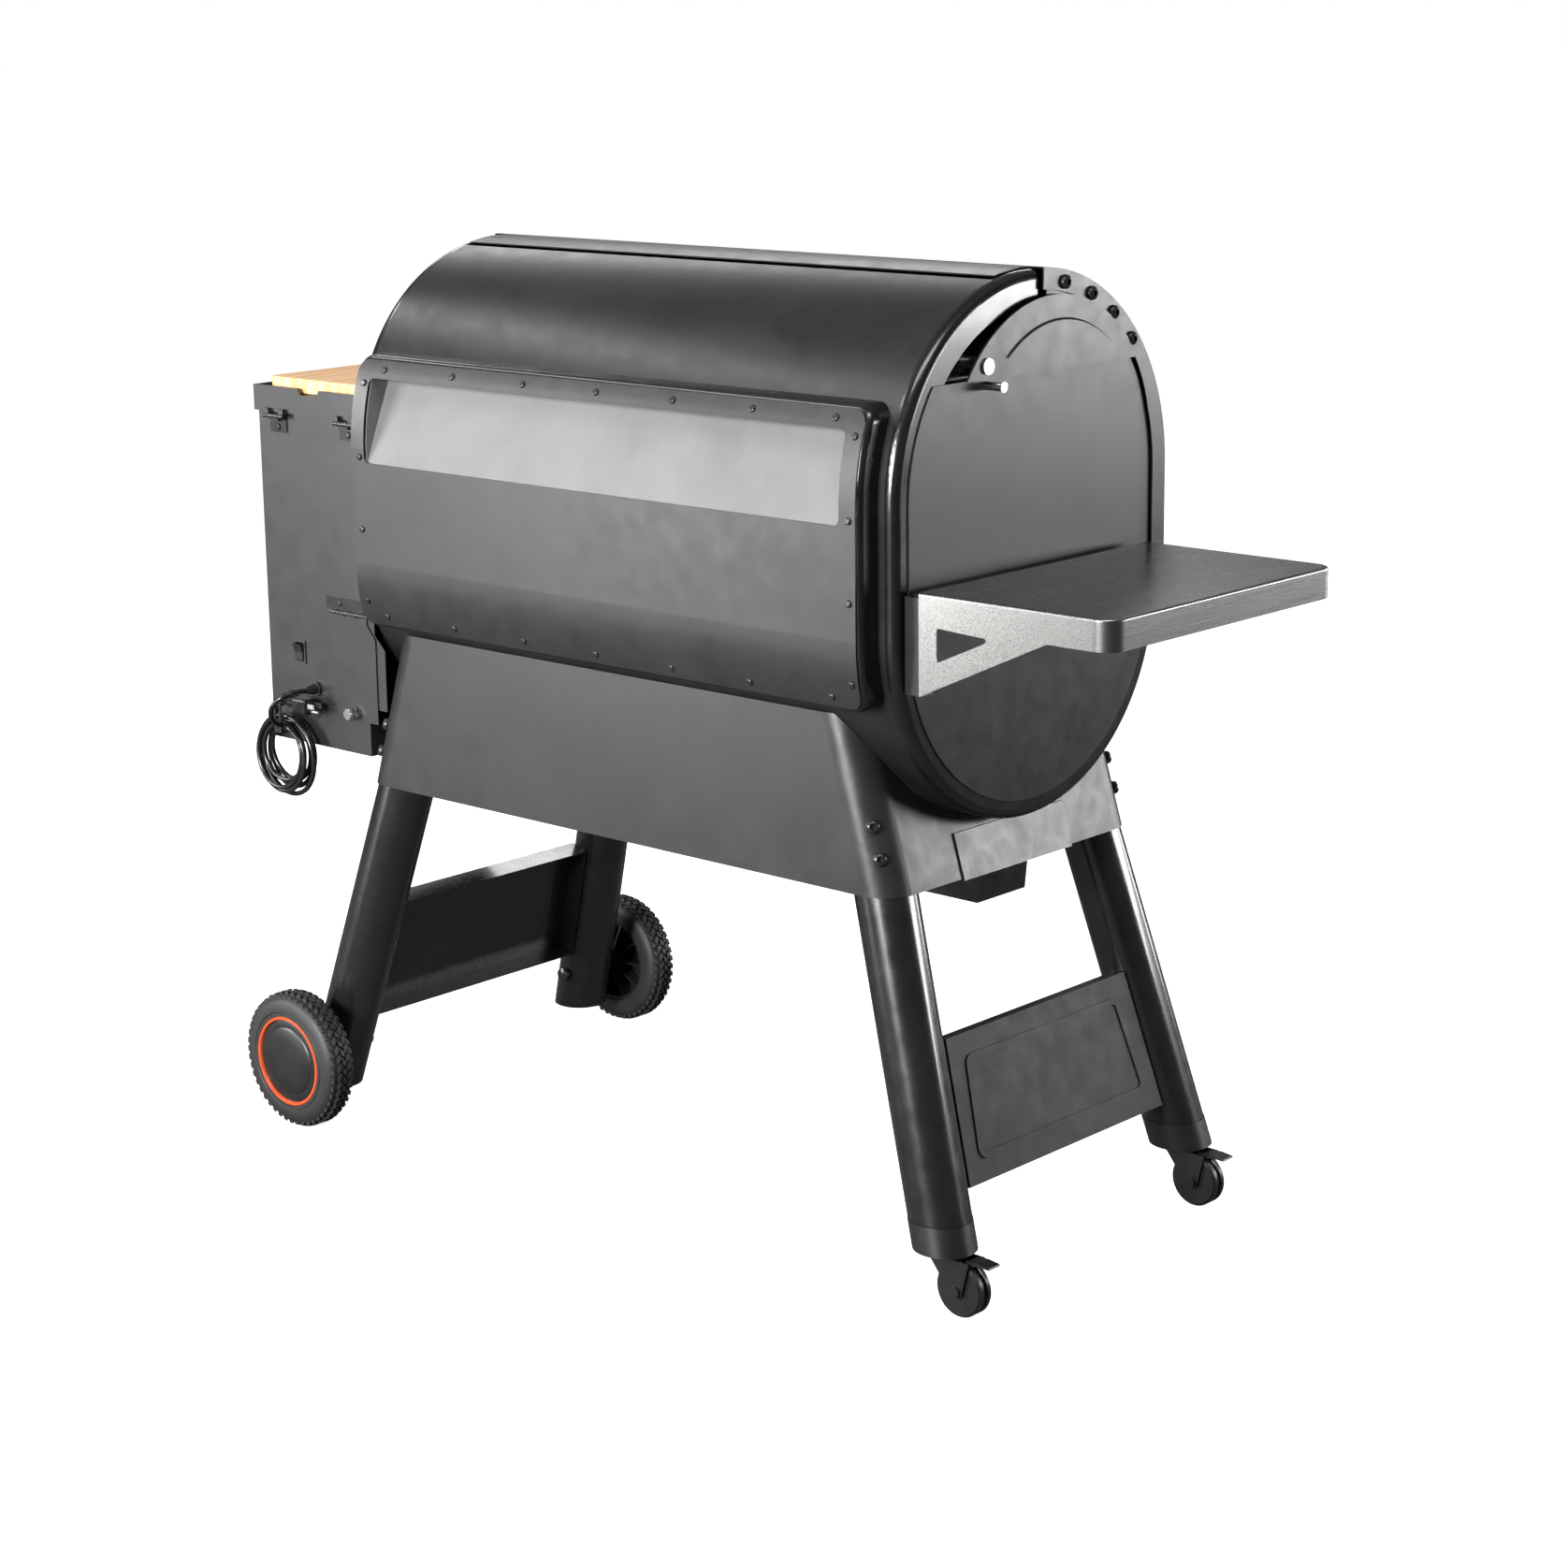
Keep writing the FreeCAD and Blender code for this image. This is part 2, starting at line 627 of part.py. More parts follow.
def make_deflector():
    """Sloping sheet behind the window, with a fold along its top and a cheek at each end."""
    owner = body("duct_deflector")
    face_y, low, high = float(D.duct_radius) - 0.6, float(D.window_low) - 1, float(D.window_top) + 3
    fold_y, fold_z, top_y, wall = 245.8, 1037, 240.5, float(D.thin)
    face = [(face_y, low), (fold_y, fold_z), (top_y, high), (top_y - wall, high),
            (fold_y - wall, fold_z), (face_y - wall, low)]
    pad(owner, sketch(owner, "YZ_Plane", polygon(face)), 2 * (D.window_half - 1), both_ways=True)
    # the cheeks follow the curve of the cover
    curve = [(math.sqrt(face_y ** 2 - (z - float(D.top_centre)) ** 2), z) for z in (965, 995, 1023, high)]
    cheek = [(face_y, low)] + curve + [(top_y, high), (fold_y, fold_z)]
    for side in (-1, 1):
        drawn = sketch(owner, "YZ_Plane", polygon(cheek), side * (float(D.window_half) - 1))
        pad(owner, drawn, D.thin, backwards=side > 0)
    place(owner, D.barrel_mid)


def pan_head(at, outward, radius=4.6, height=2.6):
    """Domed screw head."""
    outward = Vector(outward).normalize()
    head = Part.makeCylinder(radius, height, at, outward)
    rim = [edge for edge in head.Edges if edge.Closed and (edge.CenterOfMass - at).Length > height / 2]
    return head.makeFillet(0.8 * height, rim)


def socket_head(at, outward, radius, height):
    """Domed bolt head with a hexagon socket."""
    outward = Vector(outward).normalize()
    hexagon = [Vector(*polar((0, 0), 0.5 * radius, 60 * step), 0) for step in range(6)]
    socket = Part.Face(Part.makePolygon(hexagon + hexagon[:1])).extrude(Vector(0, 0, height))
    socket.Placement = Placement(at + outward * (0.4 * height), Rotation(Z_AXIS, outward))
    return pan_head(at, outward, radius, height).cut(socket)


LEG_BOLTS = (571, 533)


def duct_face_point(x, z, radius):
    """A point on the duct face at height z, and the way the face looks there."""
    centre = float(D.top_centre) if z > float(D.top_centre) else float(D.low_centre)
    rise = z - centre if z > float(D.top_centre) or z < float(D.low_centre) else 0.0
    y = math.sqrt(radius ** 2 - rise ** 2)
    return Vector(x, y, z), Vector(0, y, rise)


def make_screws():
    """Screws of the duct cover, bolts of the legs and screws of the leg panels."""
    face = float(D.duct_radius) + 2.4
    top, bottom, middle = 1058.6, 735, float(D.barrel_mid) - 3
    places = [(middle + step * float(D.screw_rows), z) for z in (top, bottom) for step in range(-3, 4)]
    side_pitch = 95.5
    places += [(middle + side * float(D.screw_side), 1040.3 - side_pitch * step)
               for side in (-1, 1) for step in range(4)]
    shapes = [pan_head(*duct_face_point(x, z, face)) for x, z in places]
    for name, side in ENDS.items():
        for front in (-1, 1):
            level = Vector(side, front, 0).normalize()
            for z in LEG_BOLTS:
                corner, below = skirt_corner(side, front, z), skirt_corner(side, front, z - 1)
                # square to the skin, which leans
                outward = (level + Z_AXIS * level.dot(below - corner)).normalize()
                skin = corner + level * float(D.skirt_reach + D.thin)
                shapes.append(socket_head(skin + outward * 0.1, outward, 8.5, 6.5))
    group(shapes, "frame_screws")


# ---------------------------------------------------------------- legs, skirt and leg panels

def leg_axis(side, front, z):
    """Point of a leg's axis at height z; front is -1 at the lid side and 1 at the back."""
    drop = float(D.leg_level) - z
    start = float(D.leg_shelf_x) if side < 0 else float(D.leg_hopper_x)
    return Vector(start + side * float(D.lean_x) * drop,
                  front * (float(D.leg_y) + float(D.lean_y) * drop), z)


def leaning_rod(side, front, radius):
    """Cylinder on a leg's axis, long enough to be cut level at both ends."""
    low, high = leg_axis(side, front, -60), leg_axis(side, front, float(D.leg_top) + 60)
    thing = DOC.addObject("Part::Cylinder", "Tube")
    bind(thing, "Radius", radius)
    thing.Height = (high - low).Length
    thing.Placement = Placement(low, Rotation(Z_AXIS, high - low))
    return thing


def level_slice(thing, low, high):
    return common(thing, span((-900, 900), (-400, 400), (low, high)))


def make_leg(label, side, front):
    """Leaning tube with level ends."""
    foot = D.cap_seam if side < 0 else D.foot_hopper
    bore = level_slice(leaning_rod(side, front, D.leg_radius - D.leg_wall), foot - 5, D.leg_top + 5)
    leg = cut(level_slice(leaning_rod(side, front, D.leg_radius), foot, D.leg_top), bore)
    if side > 0:
        axle = leg_axis(side, front, float(D.wheel_radius))
        hole = rod(D.axle_radius + 0.1, 140, (axle.x, axle.y - 70, D.wheel_radius), "y")
        leg = cut(leg, hole)
    keep(leg, label)


def make_caster_caps():
    """End caps of the two shelf-side legs, each bored for a caster's stem."""
    caps = []
    for front in (-1, 1):
        outer = level_slice(leaning_rod(-1, front, D.leg_radius + 0.6), D.foot_shelf, D.cap_seam - 0.6)
        hollow = level_slice(leaning_rod(-1, front, D.leg_radius - 4), D.foot_shelf + 26, D.cap_seam + 5)
        foot = leg_axis(-1, front, float(D.foot_shelf))
        hole = rod(D.stem_radius + 0.1, 60, (foot.x, foot.y, D.foot_shelf - 5))
        caps.append(cut(outer, hollow, hole))
    DOC.recompute()
    group([cap.Shape for cap in caps], "caster_caps")


def rounded_wire(x_low, x_high, half_y, radius, z):
    """Level rectangle with round corners."""
    edges = rounded(x_low, x_high, -half_y, half_y, radius)
    wire = Part.Wire([edge.toShape() for edge in edges])
    wire.translate(Vector(0, 0, z))
    return wire


def skirt_corner(side, front, z):
    """Centre of a rounded corner of the skirt at height z."""
    low, high = float(D.skirt_low), float(D.skirt_top)
    foot_y, top_y = leg_axis(1, 1, low).y, float(D.skirt_top_y - D.skirt_reach)
    y = foot_y + (top_y - foot_y) * (z - low) / (high - low)
    return Vector(leg_axis(side, front, z).x, front * y, z)


def skirt_loft(extra):
    """Tapered block that wraps the tops of the four legs."""
    reach = float(D.skirt_reach) + extra
    wires = []
    for z, half_y in ((float(D.skirt_low), None), (float(D.skirt_top), float(D.skirt_top_y) + extra)):
        x_low = leg_axis(-1, 1, z).x - reach
        x_high = leg_axis(1, 1, z).x + reach
        half_y = half_y or leg_axis(1, 1, z).y + reach
        wires.append(rounded_wire(x_low, x_high, half_y, reach, z))
    return Part.makeLoft(wires, True, True)


def make_skirt():
    outer, inner = solid(skirt_loft(float(D.thin))), solid(skirt_loft(0))
    clearance, barrel = along_barrel(None, stadium(D.shell_radius + 1.2), 2 * D.barrel_half + 30)
    drawer_gap = span((-450, -300), (-100, 100), (D.skirt_low - 5, D.skirt_low + 51))
    keep(cut(outer, inner, clearance, drawer_gap), "skirt")


def make_leg_panel(label, side):
    """Pressed tray between two legs, open towards the middle of the grill."""
    slope = math.atan(float(D.lean_x))
    low, high = float(D.panel_low), float(D.panel_top)
    length = (high - low) / math.cos(slope)
    gap = float(D.leg_radius) + 1.2
    wide, narrow = leg_axis(1, 1, low).y - gap, leg_axis(1, 1, high).y - gap
    owner = body(label)
    outline = [(-wide, 0), (wide, 0), (narrow, length), (-narrow, length)]
    outer = pad(owner, sketch(owner, "YZ_Plane", polygon(outline)), D.panel_depth, backwards=side < 0)
    wall = 2.0
    inside = [(-wide + wall, wall), (wide - wall, wall), (narrow - wall, length - wall),
              (-narrow + wall, length - wall)]
    pocket(owner, sketch(owner, "YZ_Plane", polygon(inside)), D.panel_depth - wall, backwards=side > 0)
    bead = []
    for inset in (26, 34):
        foot_half, head_half, head_z = wide - inset, narrow - inset, length - inset
        bead += round_corners([(-foot_half, inset), (foot_half, inset), (head_half, head_z),
                               (-head_half, head_z)], 40 - inset)
    raised = sketch(owner, "YZ_Plane", bead, side * (float(D.panel_depth) - 0.1))
    pad(owner, raised, 1.9, backwards=side < 0)
    foot = leg_axis(side, 1, low)
    owner.Placement = Placement(
        Vector(foot.x + side * (float(D.panel_out) - float(D.panel_depth)), 0, low),
        Rotation(Y_AXIS, -side * math.degrees(slope)))


# ---------------------------------------------------------------- wheels and casters

def make_wheel(label, front):
    """Tyre, hub and axle bolt, which turn together in the leg."""
    centre = leg_axis(1, front, float(D.wheel_radius))
    near, far, r = float(D.wheel_in), float(D.wheel_out), float(D.wheel_radius)

    def revolve(points):
        wire = Part.makePolygon([Vector(v, u, 0) for u, v in points + points[:1]])
        turned = Part.Face(wire).revolve(Vector(0, 0, 0), Y_AXIS, 360)
        if front < 0:
            turned = turned.mirror(Vector(0, 0, 0), Y_AXIS)
        turned.translate(Vector(centre.x, 0, centre.z))
        return turned

    tyre = revolve([(near, r - 9), (near + 7, r), (far - 7, r), (far, r - 9), (far, 66), (near, 66)])
    hub = revolve([(near + 3, 65.9), (near + 3, 58), (near + 22, 56), (near + 22, 18), (near - 6, 16),
                   (near - 6, 0), (far + 1, 0), (far + 1, 40), (far - 1, 62), (far - 1, 65.9)])
    inner_face = leg_axis(1, 1, r).y - float(D.leg_radius) - 1.5
    bolt = revolve([(inner_face - 9, 0), (inner_face - 9, 10), (inner_face - 1, 10),
                    (inner_face - 1, float(D.axle_radius)), (near - 6.5, float(D.axle_radius)),
                    (near - 6.5, 0)])
    group([tyre, hub, bolt], label)


def caster_centre(front):
    """Foot of a shelf-side leg, on the caster's swivel axis."""
    return leg_axis(-1, front, float(D.foot_shelf))


def bearing(centre, point):
    return math.degrees(math.atan2(point[1] - centre[1], point[0] - centre[0])) % 360


def tangent_point(point, centre, radius, side):
    """Where a line from a point touches a circle, on its left (1) or right (-1)."""
    away = math.hypot(centre[0] - point[0], centre[1] - point[1])
    turn = math.radians(bearing(point, centre)) + side * math.asin(radius / away)
    reach = math.sqrt(away ** 2 - radius ** 2)
    return point[0] + reach * math.cos(turn), point[1] + reach * math.sin(turn)


def make_caster(front, name):
    centre = caster_centre(front)
    axle_x, half = centre.x - float(D.caster_trail), float(D.caster_width) / 2
    top = float(D.foot_shelf) - 0.6
    r = float(D.caster_radius)

    stem = rod(D.stem_radius, 34, (centre.x, centre.y, top - 1))
    crown = rod(19, 5, (centre.x, centre.y, top - 5))
    cheeks = []
    inner, outer, hub, round_end = (centre.x + 14, top - 5), (centre.x - 48, top - 5), (axle_x, r), 9.5
    touch_in, touch_out = tangent_point(inner, hub, round_end, 1), tangent_point(outer, hub, round_end, -1)
    shape = [line(outer, inner), line(inner, touch_in), line(touch_out, outer),
             arc(hub, round_end, bearing(hub, touch_out), bearing(hub, touch_in))]
    for side in (-1, 1):
        cheek = body()
        drawn = sketch(cheek, "XZ_Plane", shape)
        pad(cheek, drawn, 2.4, both_ways=True)
        place(cheek, 0, centre.y + side * (half + 1.8 + 1.2), 0)
        cheeks.append(cheek)
    bridge = span((centre.x - 16, centre.x + 16), (centre.y - half - 4, centre.y + half + 4),
                  (top - 7.5, top - 4.8))
    pin = rod(4, 2 * half + 10, (axle_x, centre.y - half - 5, r), "y")
    nuts = [rod(7, 4, (axle_x, centre.y + shift, r), "y") for shift in (half + 4, -half - 8)]
    pivot_x, pivot_z = brake_pivot(front)
    brake_pin = rod(1.55, 2 * half + 5, (pivot_x, centre.y - half - 2.5, pivot_z), "y")
    keep(fuse(stem, crown, bridge, *cheeks, pin, *nuts, brake_pin), f"caster_fork_{name}")

    wheel = body(f"caster_wheel_{name}")
    section = [(4.08, -half), (r - 3, -half), (r, -half + 3), (r, -3.5), (r - 5, -1.5), (r - 5, 1.5),
               (r, 3.5), (r, half - 3), (r - 3, half), (4.08, half)]
    drawn = sketch(wheel, "XY_Plane", polygon(section))
    turn = wheel.newObject("PartDesign::Revolution", "Turned")
    turn.Profile = drawn
    turn.ReferenceAxis = (drawn, ["V_Axis"])
    turn.Angle = 360
    place(wheel, axle_x, centre.y, r)

    lever = body(f"brake_lever_{name}")
    shape = [(3.6, 2), (-2, 3.4), (-14, 4.4), (-31, 2.4), (-32, 0.2), (-15, 1.2), (-3, -2.3), (3, -2.3)]
    pad(lever, sketch(lever, "XZ_Plane", polygon(shape)), 2 * half - 2, both_ways=True)
    bore = sketch(lever, "XZ_Plane", [Part.Circle(Vector(0, 0, 0), Z_AXIS, 1.6)])
    pocket(lever, bore, 60, both_ways=True)
    place(lever, pivot_x, centre.y, pivot_z)


def brake_pivot(front):
    """Axis that the brake lever rocks about."""
    centre = caster_centre(front)
    return centre.x - 43, float(D.foot_shelf) - 8


# ---------------------------------------------------------------- side shelf

def make_shelf():
    """Folded steel pan with a gusset at each end, and two black mounting strips."""
    owner = body("side_shelf")
    x0, x1, y0, y1 = [float(v) for v in (D.shelf_outer, D.shelf_inner, D.shelf_front, D.shelf_back)]
    r, wall = float(D.shelf_corner), float(D.thin)
    low = D.shelf_top - D.shelf_edge

    def outline(inset):
        a, b, c, d, k = x0 + inset, x1, y0 + inset, y1 - inset, r - inset
        return [line((a + k, c), (b, c)), line((b, c), (b, d)), line((b, d), (a + k, d)),
                arc((a + k, d - k), k, 90, 180), line((a, d - k), (a, c + k)),
                arc((a + k, c + k), k, 180, 270)]

    block = pad(owner, sketch(owner, "XY_Plane", outline(0), low), D.shelf_edge)
    soft = fillet(owner, block, 3, lambda edge: edge.BoundBox.ZMin > float(D.shelf_top) - 0.01
                  and edge.CenterOfMass.x < x1 - 1)
    pocket(owner, sketch(owner, "XY_Plane", outline(wall), low), D.shelf_edge - wall, backwards=True)
    foot, edge_z = float(D.bracket_foot), float(low)
    gusset = [(x1, foot), (x1, edge_z + 12), (x1 - 200, edge_z + 12), (x1 - 184, edge_z)]
    eye = [(x1 - 26, edge_z - 42), (x1 - 26, edge_z - 1), (x1 - 108, edge_z - 5)]
    for y in (-(y1 - wall / 2), -(y0 + wall / 2)):
        pad(owner, sketch(owner, "XZ_Plane", polygon(gusset), y), wall, both_ways=True)
        eyelet = pocket(owner, sketch(owner, "XZ_Plane", round_corners(eye, 3), y), 6, both_ways=True)
        lip_y = -y
        inward = 22 if lip_y < 0 else -22
        lip = rectangle(min(lip_y, lip_y + inward), max(lip_y, lip_y + inward), foot, edge_z + 12)
        pad(owner, sketch(owner, "YZ_Plane", polygon(lip), x1 - wall), wall)

    plate_x = float(end_x(-1)) - float(D.sheet)
    strips = [Part.makeBox(plate_x - x1, 18, edge_z + 30 - foot, Vector(x1, y, foot))
              for y in (y1 - 20, y0 + 2)]
    strips = [strip.cut(Part.makeBox(60, 12, 400, Vector(x1 + 3, strip.BoundBox.YMin + 3, foot - 50)))
              for strip in strips]
    group(strips, "shelf_mount")


# ---------------------------------------------------------------- hopper

def make_hopper():
    owner = body("hopper_body")
    x0, x1, low, high, y, wall = D.hopper_in, D.hopper_out, D.hopper_low, D.hopper_top, D.hopper_y, D.thin
    pad(owner, sketch(owner, "XZ_Plane", rectangle(x0, x1, low, high)), 2 * y, both_ways=True)
    inside = rectangle(x0 + wall, x1 - wall, low + wall, high + 20)
    pocket(owner, sketch(owner, "XZ_Plane", inside), 2 * (y - wall), both_ways=True)
    # side cheeks towards the barrel, lower than its end ring
    cheek = [(x0 - 36, 589), (x0 + 1, 589), (x0 + 1, 740), (x0 - 16, 740), (x0 - 16, 692), (x0 - 36, 672)]
    for back in (-1, 1):
        drawn = sketch(owner, "XZ_Plane", cheek, -back * float(y - 0.5 * wall))
        pad(owner, drawn, wall, both_ways=True)
    # cleanout opening in the back, auger hole in the inner wall, switch frame on the back
    opening = sketch(owner, "XZ_Plane", rectangle(x0 + 8, x0 + 62, 594, 700), -float(y))
    pocket(owner, opening, 20, both_ways=True)
    hole = [Part.Circle(Vector(0, float(D.auger_z), 0), Z_AXIS, 30.5)]
    pocket(owner, sketch(owner, "YZ_Plane", hole, float(x0)), 20, both_ways=True)
    sx, sz = SWITCH_AT
    frame = rectangle(sx - 12, sx + 12, sz - 16, sz + 16)
    pad(owner, sketch(owner, "XZ_Plane", frame, -float(y) - 0.75), 2.5, both_ways=True)
    seat = rectangle(sx - 9, sx + 9, sz - 13, sz + 13)
    pocket(owner, sketch(owner, "XZ_Plane", seat, -float(y)), 20, both_ways=True)

    make_chute()
    make_hopper_lid()
    make_door()
    make_hinges()
    make_controller()

    rocker = body("power_switch")
    shape = [(2.5, -11.5), (3.2, 0), (6.5, 11.5), (-4, 10), (-6, 0), (-4, -10)]
    pad(rocker, sketch(rocker, "YZ_Plane", polygon(shape)), 16, both_ways=True)
    pad(rocker, sketch(rocker, "YZ_Plane", [Part.Circle(Vector(0, 0, 0), Z_AXIS, 2)]), 17.4, both_ways=True)
    place(rocker, sx, D.hopper_y + 1, sz)


SWITCH_AT = (661, 650)


def make_chute():
    """Funnel and spout down to the auger, each of four flat panels with mitred edges."""
    wall = float(D.thin)
    mouth, throat = (524, 723, 229), (580, 628, 24)

    def corners(opening, z, inset):
        x0, x1, half = opening
        plan = rectangle(x0 + inset, x1 - inset, -half + inset, half - inset)
        return [Vector(u, v, z) for u, v in plan]

    panels = []
    for upper, upper_z, lower, lower_z in ((mouth, 960, throat, 690), (throat, 690, throat, 653)):
        rings = [(corners(opening, z, 0), corners(opening, z, wall))
                 for opening, z in ((upper, upper_z), (lower, lower_z))]
        for side in range(4):
            ends = []
            for outer, inner in rings:
                after = (side + 1) % 4
                quad = [outer[side], outer[after], inner[after], inner[side]]
                ends.append(Part.makePolygon(quad + quad[:1]))
            panels.append(Part.makeLoft(ends, True, True))
    group(panels, "hopper_chute")


HINGE_X = (539, 684)


def make_hopper_lid():
    """Shallow tray turned down over the hopper, with a finger notch and two hinge lugs."""
    owner = body("hopper_lid")
    y = D.rim_y
    outline = [(D.rim_in, -y), (D.rim_out, -y), (D.rim_out, y), (D.rim_in, y)]
    pad(owner, sketch(owner, "XY_Plane", outline, D.rim_low), D.rim_top - D.rim_low)
    edge = 2.0

    def shrunk(inset):
        return rectangle(D.rim_in + inset, D.rim_out - inset, inset - y, y - inset)

    tray = sketch(owner, "XY_Plane", shrunk(edge + 2), D.rim_top)
    pocket(owner, tray, D.rim_top - D.tray_floor)
    under = sketch(owner, "XY_Plane", shrunk(edge), D.rim_low)
    pocket(owner, under, D.tray_floor - D.rim_low - edge, backwards=True)
    notch = [(598, 1006), (633, 1006), (639, 1020), (592, 1020)]
    pocket(owner, sketch(owner, "XZ_Plane", polygon(notch), -float(y)), 16, both_ways=True)
    rim_y, rim_z, pin_y, pin_z = [float(v) for v in (y, D.rim_low, D.hinge_y, D.hinge_z)]
    for x in HINGE_X:
        for shift in (-15.5, 15.5):
            web = polygon(rectangle(rim_y - 1, pin_y + 1, pin_z + 1, rim_z + 5))
            pad(owner, sketch(owner, "YZ_Plane", web, x + shift), 10, both_ways=True)
            barrel = [Part.Circle(Vector(pin_y, pin_z, 0), Z_AXIS, 3.2)]
            pad(owner, sketch(owner, "YZ_Plane", barrel, x + shift), 10, both_ways=True)
    bore = Part.Circle(Vector(pin_y, pin_z, 0), Z_AXIS, 2.1)
    pocket(owner, sketch(owner, "YZ_Plane", [bore], 600), 400, both_ways=True)

    board = body("wood_board")
    plan = rounded(D.board_in, D.board_out, -D.board_y, D.board_y, 10)
    slab = pad(board, sketch(board, "XY_Plane", plan, D.tray_floor + 0.3), D.board_thick)
    fillet(board, slab, 2, lambda edge: edge.BoundBox.ZLength < 0.01)


def make_door():
    """Clean-out door on the back of the hopper, hung from its top edge, and its thumb screw."""
    owner = body("cleanout_door")
    x0, x1, low, high = D.door_in, D.door_out, D.door_low, D.door_top
    outline = [(x0, low), (x1, low), (x1, high), (x0 + 22, high), (x0, high - 26)]
    back = -(float(D.hopper_y) + 0.4)
    pad(owner, sketch(owner, "XZ_Plane", outline, back), D.thin, backwards=True)
    kx, kz = KNOB_AT
    hole = sketch(owner, "XZ_Plane", [Part.Circle(Vector(kx, kz, 0), Z_AXIS, 3.06)], back)
    pocket(owner, hole, 10, both_ways=True)
    hinge_z, y = float(D.door_hinge_z), float(D.hopper_y)
    for x in DOOR_KNUCKLES:
        web = polygon(rectangle(y + 0.4, y + 1.9, float(high) - 6, hinge_z + 1))
        pad(owner, sketch(owner, "YZ_Plane", web, x), 11.4)
        barrel = [Part.Circle(Vector(y + 3.5, hinge_z, 0), Z_AXIS, 2.6)]
        pad(owner, sketch(owner, "YZ_Plane", barrel, x), 11.4)
    bore = Part.Circle(Vector(y + 3.5, hinge_z, 0), Z_AXIS, 1.3)
    pocket(owner, sketch(owner, "YZ_Plane", [bore], 540), 300, both_ways=True)

    knob = body("door_knob")
    grip = pad(knob, sketch(knob, "XZ_Plane", [Part.Circle(Vector(0, 0, 0), Z_AXIS, 9)]), 13,
               backwards=True)
    fillet(knob, grip, 1.5, lambda edge: True)
    stud = sketch(knob, "XZ_Plane", [Part.Circle(Vector(0, 0, 0), Z_AXIS, 3)], 0)
    pad(knob, stud, 1.6)
    place(knob, kx, D.hopper_y + 0.4 + D.thin + 0.4, kz)


KNOB_AT = (549.7, 579)
DOOR_KNUCKLES = (517, 541, 565)


def make_hinges():
    """Fixed leaves and pins of the hopper lid hinges and of the door's piano hinge."""
    y = float(D.hopper_y)
    shapes = []
    pin_y, pin_z = float(D.hinge_y), float(D.hinge_z)
    for x in HINGE_X:
        leaf = Part.makeBox(34, 1.6, 19, Vector(x - 17, y, 952))
        arm = Part.makeBox(19, pin_y - y, 2.4, Vector(x - 9.5, y, 968.6))
        web = Part.makeBox(19, 2.4, 5, Vector(x - 9.5, pin_y - 1.2, 969))
        barrel = Part.makeCylinder(3.2, 19, Vector(x - 9.5, pin_y, pin_z), X_AXIS)
        pin = Part.makeCylinder(2, 42, Vector(x - 21, pin_y, pin_z), X_AXIS)
        screw = pan_head(Vector(x, y + 1.6, 959.5), Y_AXIS, 4.4, 2.4)
        shapes.append(leaf.fuse([arm, web, barrel, pin, screw]))
    z = float(D.door_hinge_z)
    leaf = Part.makeBox(95, 1.4, 16, Vector(505, y, z + 4))
    pin = Part.makeCylinder(1.2, 83, Vector(505, y + 3.5, z), X_AXIS)
    parts = [leaf, pin, pan_head(Vector(572, y + 1.4, z + 12), Y_AXIS, 4, 2.2)]
    for x in [DOOR_KNUCKLES[0] - 12] + [step + 12 for step in DOOR_KNUCKLES]:
        parts.append(Part.makeCylinder(2.6, 11.4, Vector(x, y + 3.5, z), X_AXIS))
        parts.append(Part.makeBox(11.4, 1.4, 5, Vector(x, y, z)))
    shapes.append(parts[0].fuse(parts[1:]))
    group(shapes, "hopper_hinges")


def make_controller():
    """Control housing on the front of the hopper, and its dial."""
    owner = body("controller_panel")
    x0, x1, low, high, y = 540, 690, 800, 930, float(D.hopper_y)
    side = [(-y, low), (-y, high), (-y - 16, high), (-y - 24, low + 12), (-y - 20, low)]
    housing = pad(owner, sketch(owner, "YZ_Plane", polygon(side), (x0 + x1) / 2), x1 - x0, both_ways=True)
    fillet(owner, housing, 3, lambda edge: edge.BoundBox.YMax < -y - 1)
    dial = body("controller_dial")
    dx, dz = DIAL_AT
    grip = pad(dial, sketch(dial, "XZ_Plane", [Part.Circle(Vector(0, 0, 0), Z_AXIS, 19)]), 15)
    fillet(dial, grip, 2, lambda edge: edge.CenterOfMass.y < -1)
    place(dial, dx, -y - 24.6, dz)


DIAL_AT = (615, 836)


# ---------------------------------------------------------------- feed, fire and cooking parts

